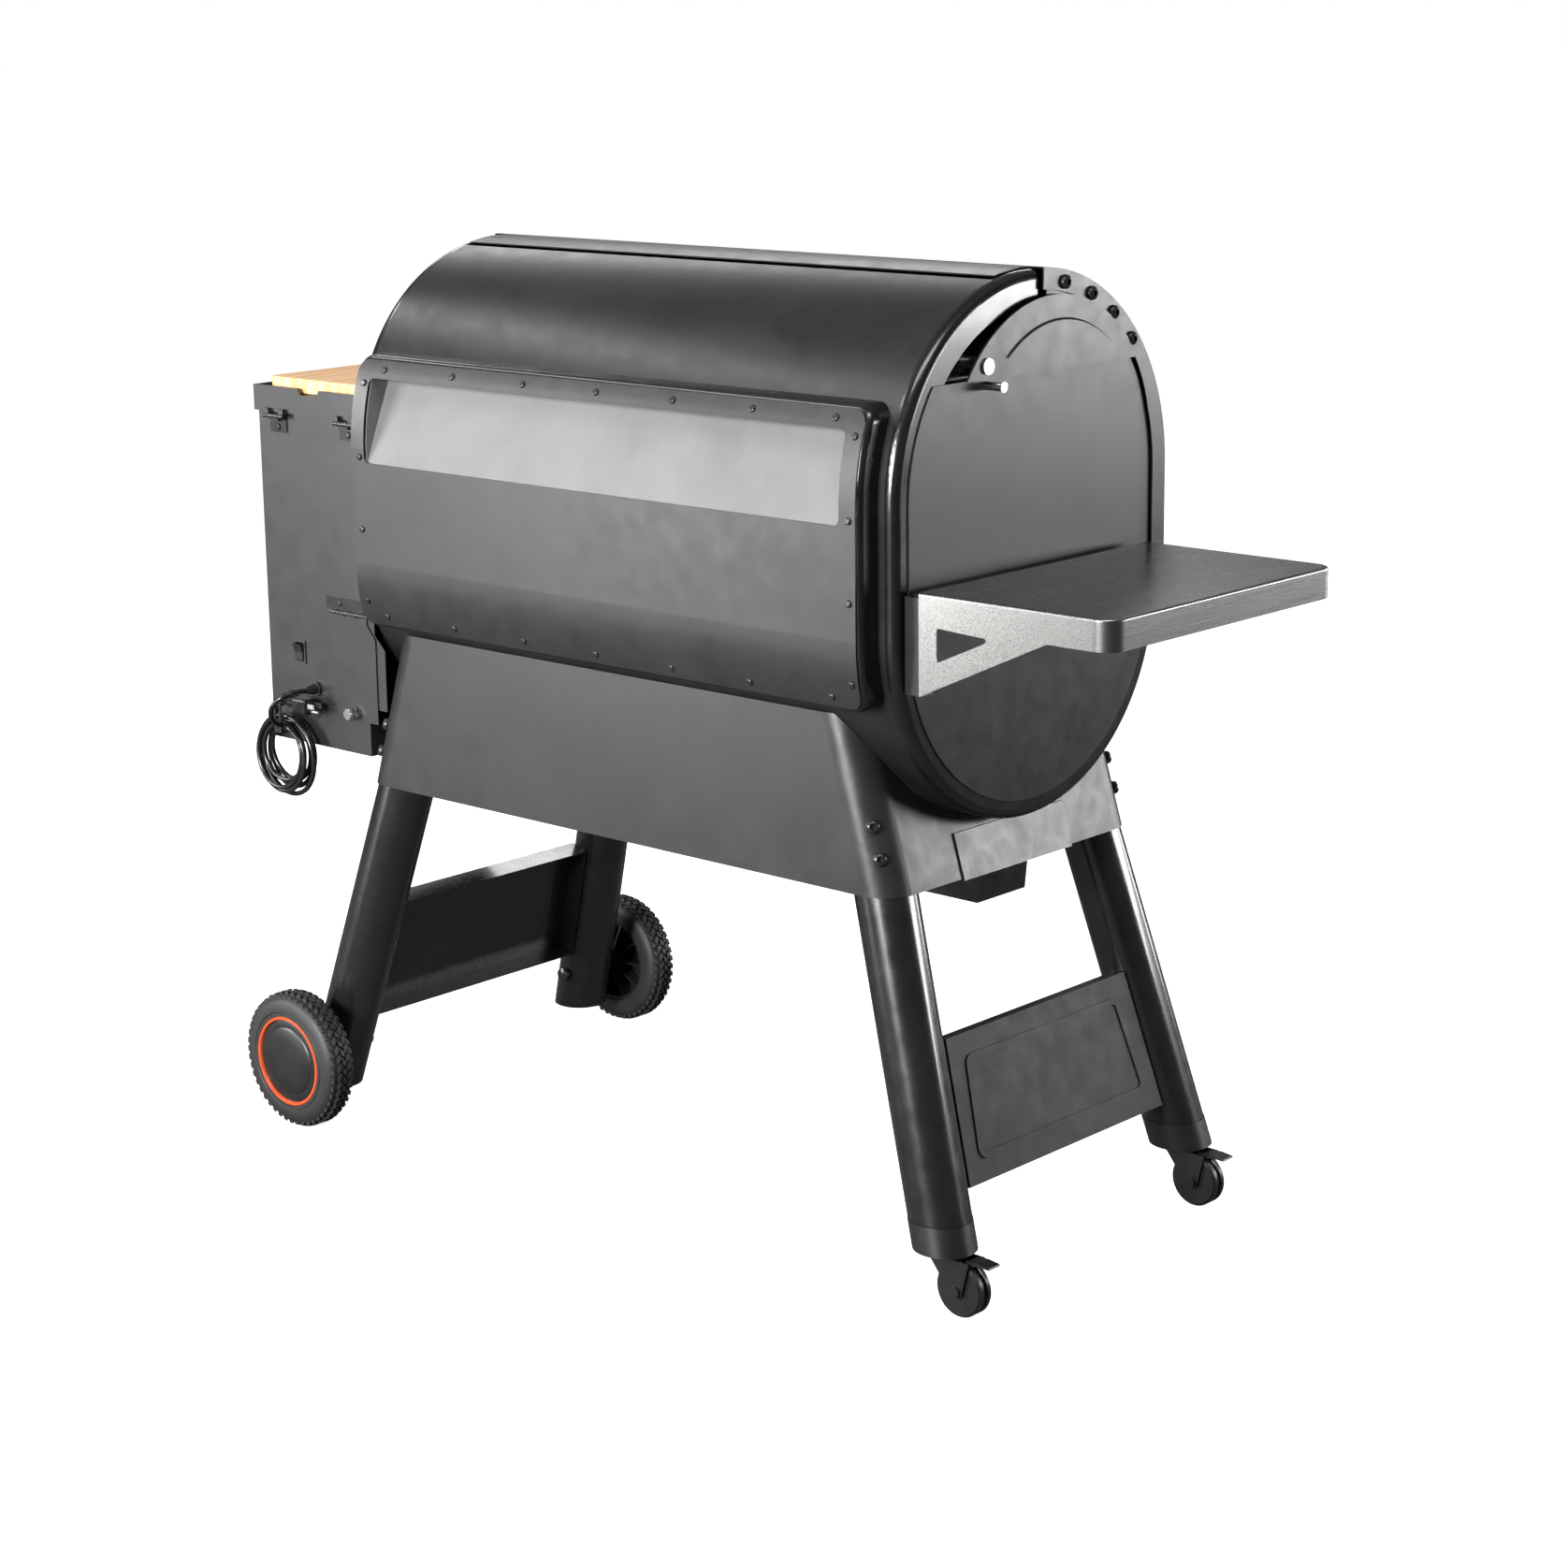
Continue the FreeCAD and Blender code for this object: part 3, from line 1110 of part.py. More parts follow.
def make_feed():
    """Auger tube with the auger, the gearmotor, the fan and the fire pot with its igniter."""
    z, start, end = float(D.auger_z), float(D.auger_start), float(D.auger_end)
    tube = cut(rod(D.tube_radius, end + 4 - start + 8, (start - 8, 0, D.auger_z), "x"),
               rod(D.tube_radius - 2, 600, (start - 20, 0, D.auger_z), "x"),
               span((581.5, 626.5), (-22, 22), (z + 5, z + 60)))
    keep(tube, "auger_tube")

    pitch, flight = float(D.flight_pitch), float(D.flight_radius)
    turns_long = end - start - 30
    helix = Part.makeHelix(pitch, turns_long, 9)
    blade = Part.makePolygon([Vector(7, 0, -1.5), Vector(flight, 0, -1.2), Vector(flight, 0, 1.2),
                              Vector(7, 0, 1.5), Vector(7, 0, -1.5)])
    flights = Part.Wire(helix).makePipeShell([blade], True, True)
    shaft = Part.makeCylinder(8, end - start + 11, Vector(0, 0, -10))
    screw = flights.fuse(shaft)
    screw.Placement = Placement(Vector(start + 12, 0, z), Rotation(Y_AXIS, 90))
    keep(solid(Part.makeCompound(screw.Solids), "Auger"), "auger")

    motor = Part.makeBox(54, 84, 84, Vector(end + 14, -42, z - 42))
    can = Part.makeCylinder(24, 14, Vector(end + 68, 0, z), X_AXIS)
    fan_x, fan_y, fan_z = FAN_AT
    scroll = Part.makeCylinder(62, 46, Vector(fan_x, fan_y, fan_z), X_AXIS)
    room = Part.makeCylinder(58, 42, Vector(fan_x + 2, fan_y, fan_z), X_AXIS)
    inlet = Part.makeCylinder(30, 10, Vector(fan_x + 40, fan_y, fan_z), X_AXIS)
    group([motor.fuse(can), scroll.cut(room).cut(inlet)], "drive_unit")

    hub = Part.makeCylinder(12, 34, Vector(fan_x + 5, fan_y, fan_z), X_AXIS)
    disc = Part.makeCylinder(50, 2, Vector(fan_x + 5, fan_y, fan_z), X_AXIS)
    blades = []
    for step in range(10):
        vane = Part.makeBox(30, 2, 20, Vector(fan_x + 6, -1, 30))
        vane.Placement = Placement(Vector(0, fan_y, fan_z), Rotation(X_AXIS, 36 * step))
        blades.append(vane)
    keep(solid(disc.fuse([hub] + blades).removeSplitter(), "Fan"), "fan_wheel")

    pot = cut(rod(D.pot_radius, 89, (D.pot_x, 0, 575)), rod(D.pot_radius - 3, 89, (D.pot_x, 0, 578)),
              rod(28, 80, (D.pot_x + 20, 0, D.auger_z), "x"),
              rod(6, 80, (D.pot_x + 20, 38, 590), "x"))
    keep(pot, "fire_pot")
    keep(rod(5.4, 120, (D.pot_x + 30, 38, 590), "x"), "igniter")


FAN_AT = (640, 120, 600)


def make_cooking():
    """Heat baffle, drip tray and two cooking grates."""
    baffle = body("heat_baffle")
    roof = [(-110, 676), (0, 700), (110, 676), (110, 673.5), (0, 697.5), (-110, 673.5)]
    pad(baffle, sketch(baffle, "YZ_Plane", polygon(roof)), 300, both_ways=True)
    for side in (-1, 1):
        leg = rectangle(side * 100 - 2, side * 100 + 2, 589, 680)
        pad(baffle, sketch(baffle, "YZ_Plane", polygon(leg)), 220, both_ways=True)
    place(baffle, D.pot_x)

    inner = 2 * (D.barrel_half - D.wall_inset) - 6
    half, base, wall = 186, LEDGES[0] + 0.4, 2.5
    floor = span((D.barrel_mid - 0.5 * inner, D.barrel_mid + 0.5 * inner), (-half, half), (base, base + wall))
    edges = [span((D.barrel_mid - 0.5 * inner, D.barrel_mid + 0.5 * inner), (low, low + wall),
                  (base + wall, base + 21.6)) for low in (-half, half - wall)]
    DOC.recompute()
    group([floor.Shape] + [edge.Shape for edge in edges], "drip_tray")
    make_grate("grate_lower", LEDGES[1], 205)
    make_grate("grate_upper", LEDGES[2], 150)


def make_grate(label, height, half_y):
    """Flat grate: a frame with evenly spaced bars."""
    owner = body(label)
    half_x = float(D.barrel_half) - float(D.wall_inset) - 3
    plan = polygon(rectangle(-half_x, half_x, -half_y, half_y))
    pad(owner, sketch(owner, "XY_Plane", plan, height + 0.4), 7)
    count, bar = 36, 7.0
    pitch = (2 * half_x - 10) / count
    slot = rectangle(-half_x + 10, -half_x + 10 + pitch - bar, -half_y + 10, half_y - 10)
    first = pocket(owner, sketch(owner, "XY_Plane", polygon(slot), height - 2), 14, backwards=True)
    DOC.recompute()
    pattern = owner.newObject("PartDesign::LinearPattern", "Slots")
    pattern.Originals = [first]
    plane = [item for item in owner.Origin.OriginFeatures if item.Role == "X_Axis"][0]
    pattern.Direction = (plane, [""])
    pattern.Length = pitch * (count - 1)
    pattern.Occurrences = count
    owner.Tip = pattern
    place(owner, D.barrel_mid)


def make_drawer():
    """Grease drawer: a leaning front plate with a tapered box behind and below it."""
    lean = float(D.lean_x)
    low, high = float(D.skirt_low) - 2, float(D.skirt_low) + 54

    def skin(z, offset):
        return leg_axis(-1, 1, z).x - float(D.skirt_reach) - float(D.thin) - offset

    front = [(skin(low, 0.5), low), (skin(high, 0.5), high), (skin(high, 2.5), high), (skin(low, 2.5), low)]
    face = Part.Face(Part.makePolygon([Vector(x, -106, z) for x, z in front + front[:1]]))
    plate = face.extrude(Vector(0, 212, 0))
    near, floor_z, top = skin(low, 0) + 20, 440, high - 6

    def ring(x0, x1, half, z):
        points = [Vector(x0, -half, z), Vector(x1, -half, z), Vector(x1, half, z), Vector(x0, half, z)]
        return Part.makePolygon(points + points[:1])

    outer = Part.makeLoft([ring(near + 6, near + 150, 47, floor_z),
                           ring(near, near + 156, 53, top)], True, True)
    inner = Part.makeLoft([ring(near + 8, near + 148, 45, floor_z + 2),
                           ring(near + 2, near + 154, 51, top + 0.1)], True, True)
    tie = Part.makeBox(abs(skin(top, 0.6) - near) + 6, 60, 3, Vector(skin(top, 0.6), -30, top - 5))
    keep(solid(plate.fuse([outer.cut(inner), tie.cut(inner)]).removeSplitter(), "Drawer"), "grease_drawer")


# ---------------------------------------------------------------- power cord

def make_cord():
    """Gland, hook, the lead from the gland into the coil, the coil and the plug."""
    y, r = float(D.hopper_y), float(D.cord_radius)
    gx, gz = GLAND_AT
    nut = Part.makeCylinder(10, 4, Vector(gx, y, gz), Y_AXIS)
    sleeve = Part.makeCone(7.5, 5, 16, Vector(gx, y + 4, gz), Y_AXIS)
    bore = Part.makeCylinder(r + 0.1, 30, Vector(gx, y + 12, gz), Y_AXIS)
    keep(solid(nut.fuse(sleeve).cut(bore), "Gland"), "cord_gland")

    cx, cy, cz = float(D.coil_x), float(D.coil_y), float(D.coil_z)
    a, b, tube = float(D.coil_half_x), float(D.coil_half_z), float(D.coil_thick)
    # the loops: two half circles joined by straight sides
    up, down = cz + (b - a), cz - (b - a)
    path = Part.Wire([
        Part.Arc(Vector(cx - a, cy, up), Vector(cx, cy, up + a), Vector(cx + a, cy, up)).toShape(),
        Part.LineSegment(Vector(cx + a, cy, up), Vector(cx + a, cy, down)).toShape(),
        Part.Arc(Vector(cx + a, cy, down), Vector(cx, cy, down - a), Vector(cx - a, cy, down)).toShape(),
        Part.LineSegment(Vector(cx - a, cy, down), Vector(cx - a, cy, up)).toShape()])
    ring = Part.Wire([Part.Circle(Vector(cx - a, cy, up), Z_AXIS, tube).toShape()])
    keep(solid(path.makePipeShell([ring], True, False), "Coil"), "cord_coil")

    strap = [(y, cz + 88), (y, cz + 64), (y + 2, cz + 64), (y + 2, cz + 78), (y + 30, cz + 78),
             (y + 30, cz + 33), (y + 8, cz + 33), (y + 8, cz + 31), (y + 32, cz + 31), (y + 32, cz + 80),
             (y + 2, cz + 80), (y + 2, cz + 88)]
    owner = body("cord_hook")
    pad(owner, sketch(owner, "YZ_Plane", polygon(strap)), 15, both_ways=True)
    slot = sketch(owner, "XZ_Plane", rounded(-4, 4, cz + 38, cz + 73, 3.9), -(y + 31))
    pocket(owner, slot, 6, both_ways=True)
    place(owner, D.coil_x)

    lead, radii = bent_tube(LEAD_ROUTE, r)
    print("lead bend radii", [round(value, 1) for value in radii])
    keep(solid(lead, "Lead"), "power_cord")

    px, pz = PLUG_AT
    head = Part.makeBox(26, 20, 22, Vector(px, cy - 6, pz - 11))
    head = head.makeFillet(4, [edge for edge in head.Edges if runs_along(edge, X_AXIS)])
    boot = Part.makeCone(4.2, 7.5, 26, Vector(px + 52, cy + 4, pz), Vector(-1, 0, 0))
    prongs = [Part.makeBox(16, 1.6, 6.5, Vector(px - 16, cy + 4 + shift, pz - 1)) for shift in (-7, 5.4)]
    earth = Part.makeCylinder(2.4, 18, Vector(px - 18, cy + 4, pz - 6), X_AXIS)
    keep(solid(head.fuse([boot, earth] + prongs), "Plug"), "power_plug")


GLAND_AT = (629, 602)
PLUG_AT = (620, 581)
LEAD_ROUTE = [(629, 250, 602), (629, 269, 603), (638, 288, 599), (652, 296, 584), (662, 290, 566),
              (666, 277, 554), (666, 260, 549)]


def bent_tube(route, radius):
    """Tube of straight runs joined by tangent arcs, each as large as its two runs allow."""
    points = [Vector(*point) for point in route]
    edges, radii, last = [], [], points[0]
    for before, corner, after in zip(points, points[1:], points[2:]):
        back, ahead = (before - corner), (after - corner)
        shorter = min(back.Length, ahead.Length)
        back.normalize()
        ahead.normalize()
        half_turn = (math.pi - back.getAngle(ahead)) / 2
        trim = 0.45 * shorter
        bend = trim / math.tan(half_turn)
        bisector = (back + ahead).normalize()
        middle = corner + bisector * (bend / math.cos(half_turn) - bend)
        start, end = corner + back * trim, corner + ahead * trim
        edges += [Part.LineSegment(last, start).toShape(), Part.Arc(start, middle, end).toShape()]
        radii.append(bend)
        last = end
    edges.append(Part.LineSegment(last, points[-1]).toShape())
    path = Part.Wire(edges)
    ring = Part.Wire([Part.Circle(points[0], points[1] - points[0], radius).toShape()])
    tube = path.makePipeShell([ring], True, False)
    expected = math.pi * radius ** 2 * path.Length
    print("lead length", round(path.Length, 1), "volume ratio", round(tube.Volume / expected, 4))
    return tube, radii


# ---------------------------------------------------------------- build, check and write

def build():
    make_barrel()
    make_lid()
    make_pivots()
    make_duct()
    make_screws()
    make_shelf()
    for name, side in ENDS.items():
        for place_name, front in (("front", -1), ("rear", 1)):
            make_leg(f"leg_{place_name}_{name}", side, front)
        make_leg_panel(f"leg_panel_{name}", side)
    make_caster_caps()
    make_skirt()
    for name, front in (("front", -1), ("rear", 1)):
        make_wheel(f"wheel_{name}", front)
        make_caster(front, name)
    make_hopper()
    make_feed()
    make_cooking()
    make_drawer()
    make_cord()


def check():
    DOC.recompute()
    faults = [f"{thing.Label}: {thing.State}" for thing in DOC.Objects
              if "Invalid" in thing.State or "Error" in thing.State]
    for thing in DOC.Objects:
        if thing.TypeId == "PartDesign::Pocket":
            removed = thing.BaseFeature.Shape.Volume - thing.Shape.Volume
            print("pocket", thing.getParent().Label if thing.getParent() else "", round(removed))
            if removed < 1:
                faults.append(f"{thing.Name}: cuts nothing")
    for thing in SUB_PARTS:
        if thing.Shape.isNull() or not thing.Shape.isValid() or not thing.Shape.Solids:
            faults.append(f"{thing.Label}: bad shape")
    if faults:
        raise RuntimeError("; ".join(faults))


def write():
    os.makedirs("parts", exist_ok=True)
    for old in os.listdir("parts"):
        os.remove(os.path.join("parts", old))
    for thing in SUB_PARTS:
        thing.Shape.exportStep(os.path.join("parts", f"{thing.Label}.step"))
    print(len(SUB_PARTS), "sub-parts written")


build()
check()
write()
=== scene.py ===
import json
import math

import bmesh
import bpy
from mathutils import Matrix, Vector


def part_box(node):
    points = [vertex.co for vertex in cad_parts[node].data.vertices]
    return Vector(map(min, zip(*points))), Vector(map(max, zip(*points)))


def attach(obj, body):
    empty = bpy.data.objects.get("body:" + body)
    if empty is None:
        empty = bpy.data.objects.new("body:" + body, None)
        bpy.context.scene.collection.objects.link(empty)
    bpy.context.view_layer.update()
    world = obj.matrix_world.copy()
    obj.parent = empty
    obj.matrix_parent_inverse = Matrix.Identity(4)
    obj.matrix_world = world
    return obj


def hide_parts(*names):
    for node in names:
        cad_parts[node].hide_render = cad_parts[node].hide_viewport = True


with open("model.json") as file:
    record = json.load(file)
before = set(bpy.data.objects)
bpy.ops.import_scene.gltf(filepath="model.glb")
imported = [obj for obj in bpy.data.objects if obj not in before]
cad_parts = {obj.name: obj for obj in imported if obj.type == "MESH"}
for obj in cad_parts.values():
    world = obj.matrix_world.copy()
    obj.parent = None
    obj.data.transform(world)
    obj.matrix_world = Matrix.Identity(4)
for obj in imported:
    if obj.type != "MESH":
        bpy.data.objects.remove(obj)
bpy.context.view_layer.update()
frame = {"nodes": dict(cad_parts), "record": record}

MM = 0.001


# ---------------------------------------------------------------- camera, floor and light

CAMERA_PLACE = (-2.8268, 3.0693, 1.5501)
CAMERA_ANGLES = (42.428, 13.098, -0.730)        # yaw, pitch and roll, degrees
CAMERA_SHIFT = (0.0020, -0.0279)
LENS, SENSOR, VIEW_DEPTH = 75.5, 36.0, 60

FLOOR_REACH = 60
LIGHT_AIM = (0, 0, 0.7)
# name, place, width and height, power
LIGHTS = (
    ("seam_strip", (2.5, -2.4, 2.75), (3.0, 0.35), 26),
    ("duct_strip", (2.5, 1.6, 3.3), (3.0, 0.3), 26),
    ("panel", (4.1, 4.3, 1.15), (2.2, 0.9), 88),
    ("skirt_wash", (3.9, 3.6, 2.05), (2.0, 0.6), 115),
    ("low_left", (3.0, 3.7, 0.35), (0.5, 0.6), 34),
    ("leg_strip", (-0.15, 4.6, 1.7), (1.3, 1.2), 420),
    ("end_low", (-3.0, -3.3, 0.95), (2.6, 0.5), 80),
    ("rim_strip", (-1.3, -4.3, 1.2), (0.6, 2.2), 45),
    ("top_wash", (-1.6, 1.4, 3.8), (2.4, 0.9), 60),
)
# share of the way from straight down to straight up, and the level seen in reflections there
SKY_LEVELS = ((0.0, 0.02), (0.47, 0.03), (0.56, 0.16), (0.70, 0.05), (0.90, 0.30), (1.0, 0.10))
SKY_BLUE = 1.02


def make_camera():
    """Long-lens view of the back and the shelf end, from a little above."""
    data = bpy.data.cameras.new("camera")
    data.sensor_width = SENSOR
    data.lens = LENS
    data.shift_x, data.shift_y = CAMERA_SHIFT
    data.clip_end = VIEW_DEPTH
    yaw, pitch, roll = (math.radians(angle) for angle in CAMERA_ANGLES)
    look = Vector((math.sin(yaw) * math.cos(pitch), -math.cos(yaw) * math.cos(pitch), -math.sin(pitch)))
    right = look.cross(Vector((0, 0, 1))).normalized()
    up = right.cross(look)
    right, up = (right * math.cos(roll) + up * math.sin(roll), up * math.cos(roll) - right * math.sin(roll))
    camera = bpy.data.objects.new("camera", data)
    turn = Matrix((right, up, -look)).transposed().to_4x4()
    camera.matrix_world = Matrix.Translation(CAMERA_PLACE) @ turn
    bpy.context.scene.collection.objects.link(camera)
    bpy.context.scene.camera = camera


def make_light(name, place, size, power):
    """Soft rectangular light that faces the object and isn't seen itself."""
    data = bpy.data.lights.new(name, "AREA")
    data.shape, data.size, data.size_y = "RECTANGLE", size[0], size[1]
    data.energy = power
    light = bpy.data.objects.new(name, data)
    light.location = place
    light.rotation_euler = (Vector(LIGHT_AIM) - Vector(place)).to_track_quat("-Z", "Y").to_euler()
    light.visible_camera = False
    bpy.context.scene.collection.objects.link(light)


def make_stage():
    """Pale floor that fades into a white backdrop, graded surroundings and large soft lights."""
    mesh = bpy.data.meshes.new("floor")
    reach = FLOOR_REACH
    corners = [(-reach, -reach, 0), (reach, -reach, 0), (reach, reach, 0), (-reach, reach, 0)]
    mesh.from_pydata(corners, [], [(0, 1, 2, 3)])
    floor = bpy.data.objects.new("floor", mesh)
    bpy.context.scene.collection.objects.link(floor)
    mesh.materials.append(MATERIALS["floor"])
    make_world()
    for light in LIGHTS:
        make_light(*light)
    bpy.context.scene.view_settings.view_transform = "Standard"


def set_stops(ramp, stops):
    """Puts a colour ramp's stops at these positions, with these colours."""
    points = ramp.color_ramp.elements
    while len(points) < len(stops):
        points.new(0.5)
    for point, (position, colour) in zip(points, stops):
        point.position = position
        point.color = (*colour, 1)


def join(tree, pairs):
    for source, target in pairs:
        tree.links.new(source, target)


def make_world():
    """White where the backdrop is seen; reflections run from dark below to pale above."""
    world = bpy.data.worlds.new("surroundings")
    world.use_nodes = True
    tree = world.node_tree
    shown = tree.nodes["Background"]
    shown.inputs["Color"].default_value = (1, 1, 1, 1)
    shown.inputs["Strength"].default_value = 1.0
    place = tree.nodes.new("ShaderNodeTexCoord")
    parts = tree.nodes.new("ShaderNodeSeparateXYZ")
    ramp = tree.nodes.new("ShaderNodeValToRGB")
    set_stops(ramp, [(position, (level, level, level * SKY_BLUE)) for position, level in SKY_LEVELS])
    # height from -1..1 to 0..1
    half = tree.nodes.new("ShaderNodeMath")
    half.operation = "MULTIPLY_ADD"
    half.inputs[1].default_value = 0.5
    half.inputs[2].default_value = 0.5
    mirrored = tree.nodes.new("ShaderNodeBackground")
    rays = tree.nodes.new("ShaderNodeLightPath")
    mix = tree.nodes.new("ShaderNodeMixShader")
    join(tree, (
        (place.outputs["Generated"], parts.inputs[0]),
        (parts.outputs["Z"], half.inputs[0]),
        (half.outputs[0], ramp.inputs["Fac"]),
        (ramp.outputs["Color"], mirrored.inputs["Color"]),
        (rays.outputs["Is Camera Ray"], mix.inputs[0]),
        (mirrored.outputs[0], mix.inputs[1]),
        (shown.outputs[0], mix.inputs[2]),
        (mix.outputs[0], tree.nodes["World Output"].inputs["Surface"]),
    ))
    bpy.context.scene.world = world


# ---------------------------------------------------------------- materials

class Nodes:
    """Short ways to build a node material."""

    def __init__(self, name):
        self.material = bpy.data.materials.new(name)
        self.material.use_nodes = True
        self.tree = self.material.node_tree
        self.shader = self.tree.nodes["Principled BSDF"]
        self.place = self.tree.nodes.new("ShaderNodeTexCoord").outputs["Object"]

    def add(self, kind, values=(), **links):
        node = self.tree.nodes.new(kind)
        for key, value in dict(values).items():
            node.inputs[key].default_value = value
        for key, source in links.items():
            self.tree.links.new(source, node.inputs[key])
        return node

    def scaled(self, scale):
        return self.add("ShaderNodeMapping", {"Scale": scale}, Vector=self.place).outputs[0]

    def noise(self, scale, detail=2.0, rough=0.5, place=None):
        values = {"Scale": scale, "Detail": detail, "Roughness": rough}
        return self.add("ShaderNodeTexNoise", values, Vector=place or self.place).outputs["Fac"]

    def between(self, source, low, high, start=0.3, end=0.7):
        values = {"From Min": start, "From Max": end, "To Min": low, "To Max": high}
        return self.add("ShaderNodeMapRange", values, Value=source).outputs[0]

    def colours(self, source, stops):
        ramp = self.tree.nodes.new("ShaderNodeValToRGB")
        set_stops(ramp, stops)
        self.tree.links.new(source, ramp.inputs["Fac"])
        return ramp.outputs["Color"]

    def link(self, socket, source):
        self.tree.links.new(source, self.shader.inputs[socket])

    def bump(self, source, strength, distance):
        node = self.add("ShaderNodeBump", {"Strength": strength, "Distance": distance}, Height=source)
        self.link("Normal", node.outputs[0])

    def set(self, **values):
        for key, value in values.items():
            self.shader.inputs[key.replace("_", " ")].default_value = value


def coat(name, dark, light, rough, grain, depth, coat_weight=0.0):
    """Paint or moulded plastic: a fine grain, faint cloudiness and uneven gloss."""
    made = Nodes(name)
    cloud = made.noise(9, 4, 0.6)
    made.link("Base Color", made.colours(cloud, [(0.3, dark), (0.72, light)]))
    made.link("Roughness", made.between(made.noise(34, 4, 0.6), rough - 0.04, rough + 0.05))
    made.bump(made.noise(grain, 3, 0.55), 0.5, depth)
    made.set(Coat_Weight=coat_weight, Coat_Roughness=0.08)
    return made.material


def brushed(name, dark, light, rough, stretch, depth=0.00004):
    """Metal with fine lines along one direction."""
    made = Nodes(name)
    lines = made.noise(1.0, 5, 0.7, made.scaled(stretch))
    made.link("Base Color", made.colours(lines, [(0.28, dark), (0.72, light)]))
    made.link("Roughness", made.between(lines, rough - 0.02, rough + 0.03))
    made.bump(lines, 0.35, depth)
    made.set(Metallic=1.0)
    return made.material


PRONG_LENGTH = 0.0158
PLUG_BLACK, PRONG_BRIGHT = (0.009, 0.009, 0.0095), (0.78, 0.77, 0.74)


def plug_plastic():
    """Moulded plastic with bright metal prongs past the plug's face."""
    made = Nodes("plug_plastic")
    parts = made.add("ShaderNodeSeparateXYZ", Vector=made.place)
    prong = made.add("ShaderNodeMath", {1: float(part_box("power_plug")[0][0]) + PRONG_LENGTH})
    prong.operation = "LESS_THAN"
    made.tree.links.new(parts.outputs["X"], prong.inputs[0])
    made.link("Base Color", made.colours(prong.outputs[0], [(0.0, PLUG_BLACK), (1.0, PRONG_BRIGHT)]))
    made.link("Metallic", prong.outputs[0])
    made.link("Roughness", made.between(made.noise(60, 3, 0.6), 0.20, 0.34))
    made.bump(made.noise(500, 3, 0.55), 0.4, 0.00003)
    return made.material


def wood():
    """Pale sawn board with the grain along its length and soft growth bands."""
    made = Nodes("board_wood")
    warp = made.noise(1.0, 4, 0.55, made.scaled((26, 3.2, 26)))
    bands = made.add("ShaderNodeTexWave", {"Scale": 9, "Distortion": 7, "Detail": 3, "Detail Scale": 1.2},
                     Vector=made.scaled((1.6, 0.22, 1.6))).outputs["Fac"]
    fibre = made.noise(1.0, 4, 0.6, made.scaled((900, 26, 900)))
    mixed = made.add("ShaderNodeMath", {1: 0.5})
    mixed.operation = "MULTIPLY_ADD"
    made.tree.links.new(bands, mixed.inputs[0])
    made.tree.links.new(warp, mixed.inputs[2])
    made.link("Base Color", made.colours(mixed.outputs[0], [
        (0.25, (0.50, 0.235, 0.085)), (0.62, (0.66, 0.36, 0.15)), (0.98, (0.76, 0.46, 0.22))]))
    made.link("Roughness", made.between(fibre, 0.42, 0.6))
    made.bump(fibre, 0.3, 0.00015)
    return made.material


FLOOR_GREYS = (0.80, 0.80, 0.80), (0.82, 0.82, 0.82)
FLOOR_GLOW, FLOOR_MIRRORED = 0.86, 0.12


def pale_floor():
    """Pale sweep: white where it is seen, dark in reflections, as with black cards round the set."""
    made = Nodes("floor")
    made.link("Base Color", made.colours(made.noise(0.6), [(0.3, FLOOR_GREYS[0]), (0.7, FLOOR_GREYS[1])]))
    made.set(Roughness=0.9, Specular_IOR_Level=0.0)
    glow = made.add("ShaderNodeEmission", {"Color": (1, 1, 1, 1), "Strength": FLOOR_GLOW})
    seen = made.add("ShaderNodeAddShader")
    dark = made.add("ShaderNodeBsdfDiffuse", {"Color": (FLOOR_MIRRORED, FLOOR_MIRRORED, FLOOR_MIRRORED, 1)})
    rays = made.tree.nodes.new("ShaderNodeLightPath")
    mix = made.tree.nodes.new("ShaderNodeMixShader")
    join(made.tree, (
        (made.shader.outputs[0], seen.inputs[0]),
        (glow.outputs[0], seen.inputs[1]),
        (rays.outputs["Is Camera Ray"], mix.inputs[0]),
        (dark.outputs[0], mix.inputs[1]),
        (seen.outputs[0], mix.inputs[2]),
        (mix.outputs[0], made.tree.nodes["Material Output"].inputs["Surface"]),
    ))
    return made.material


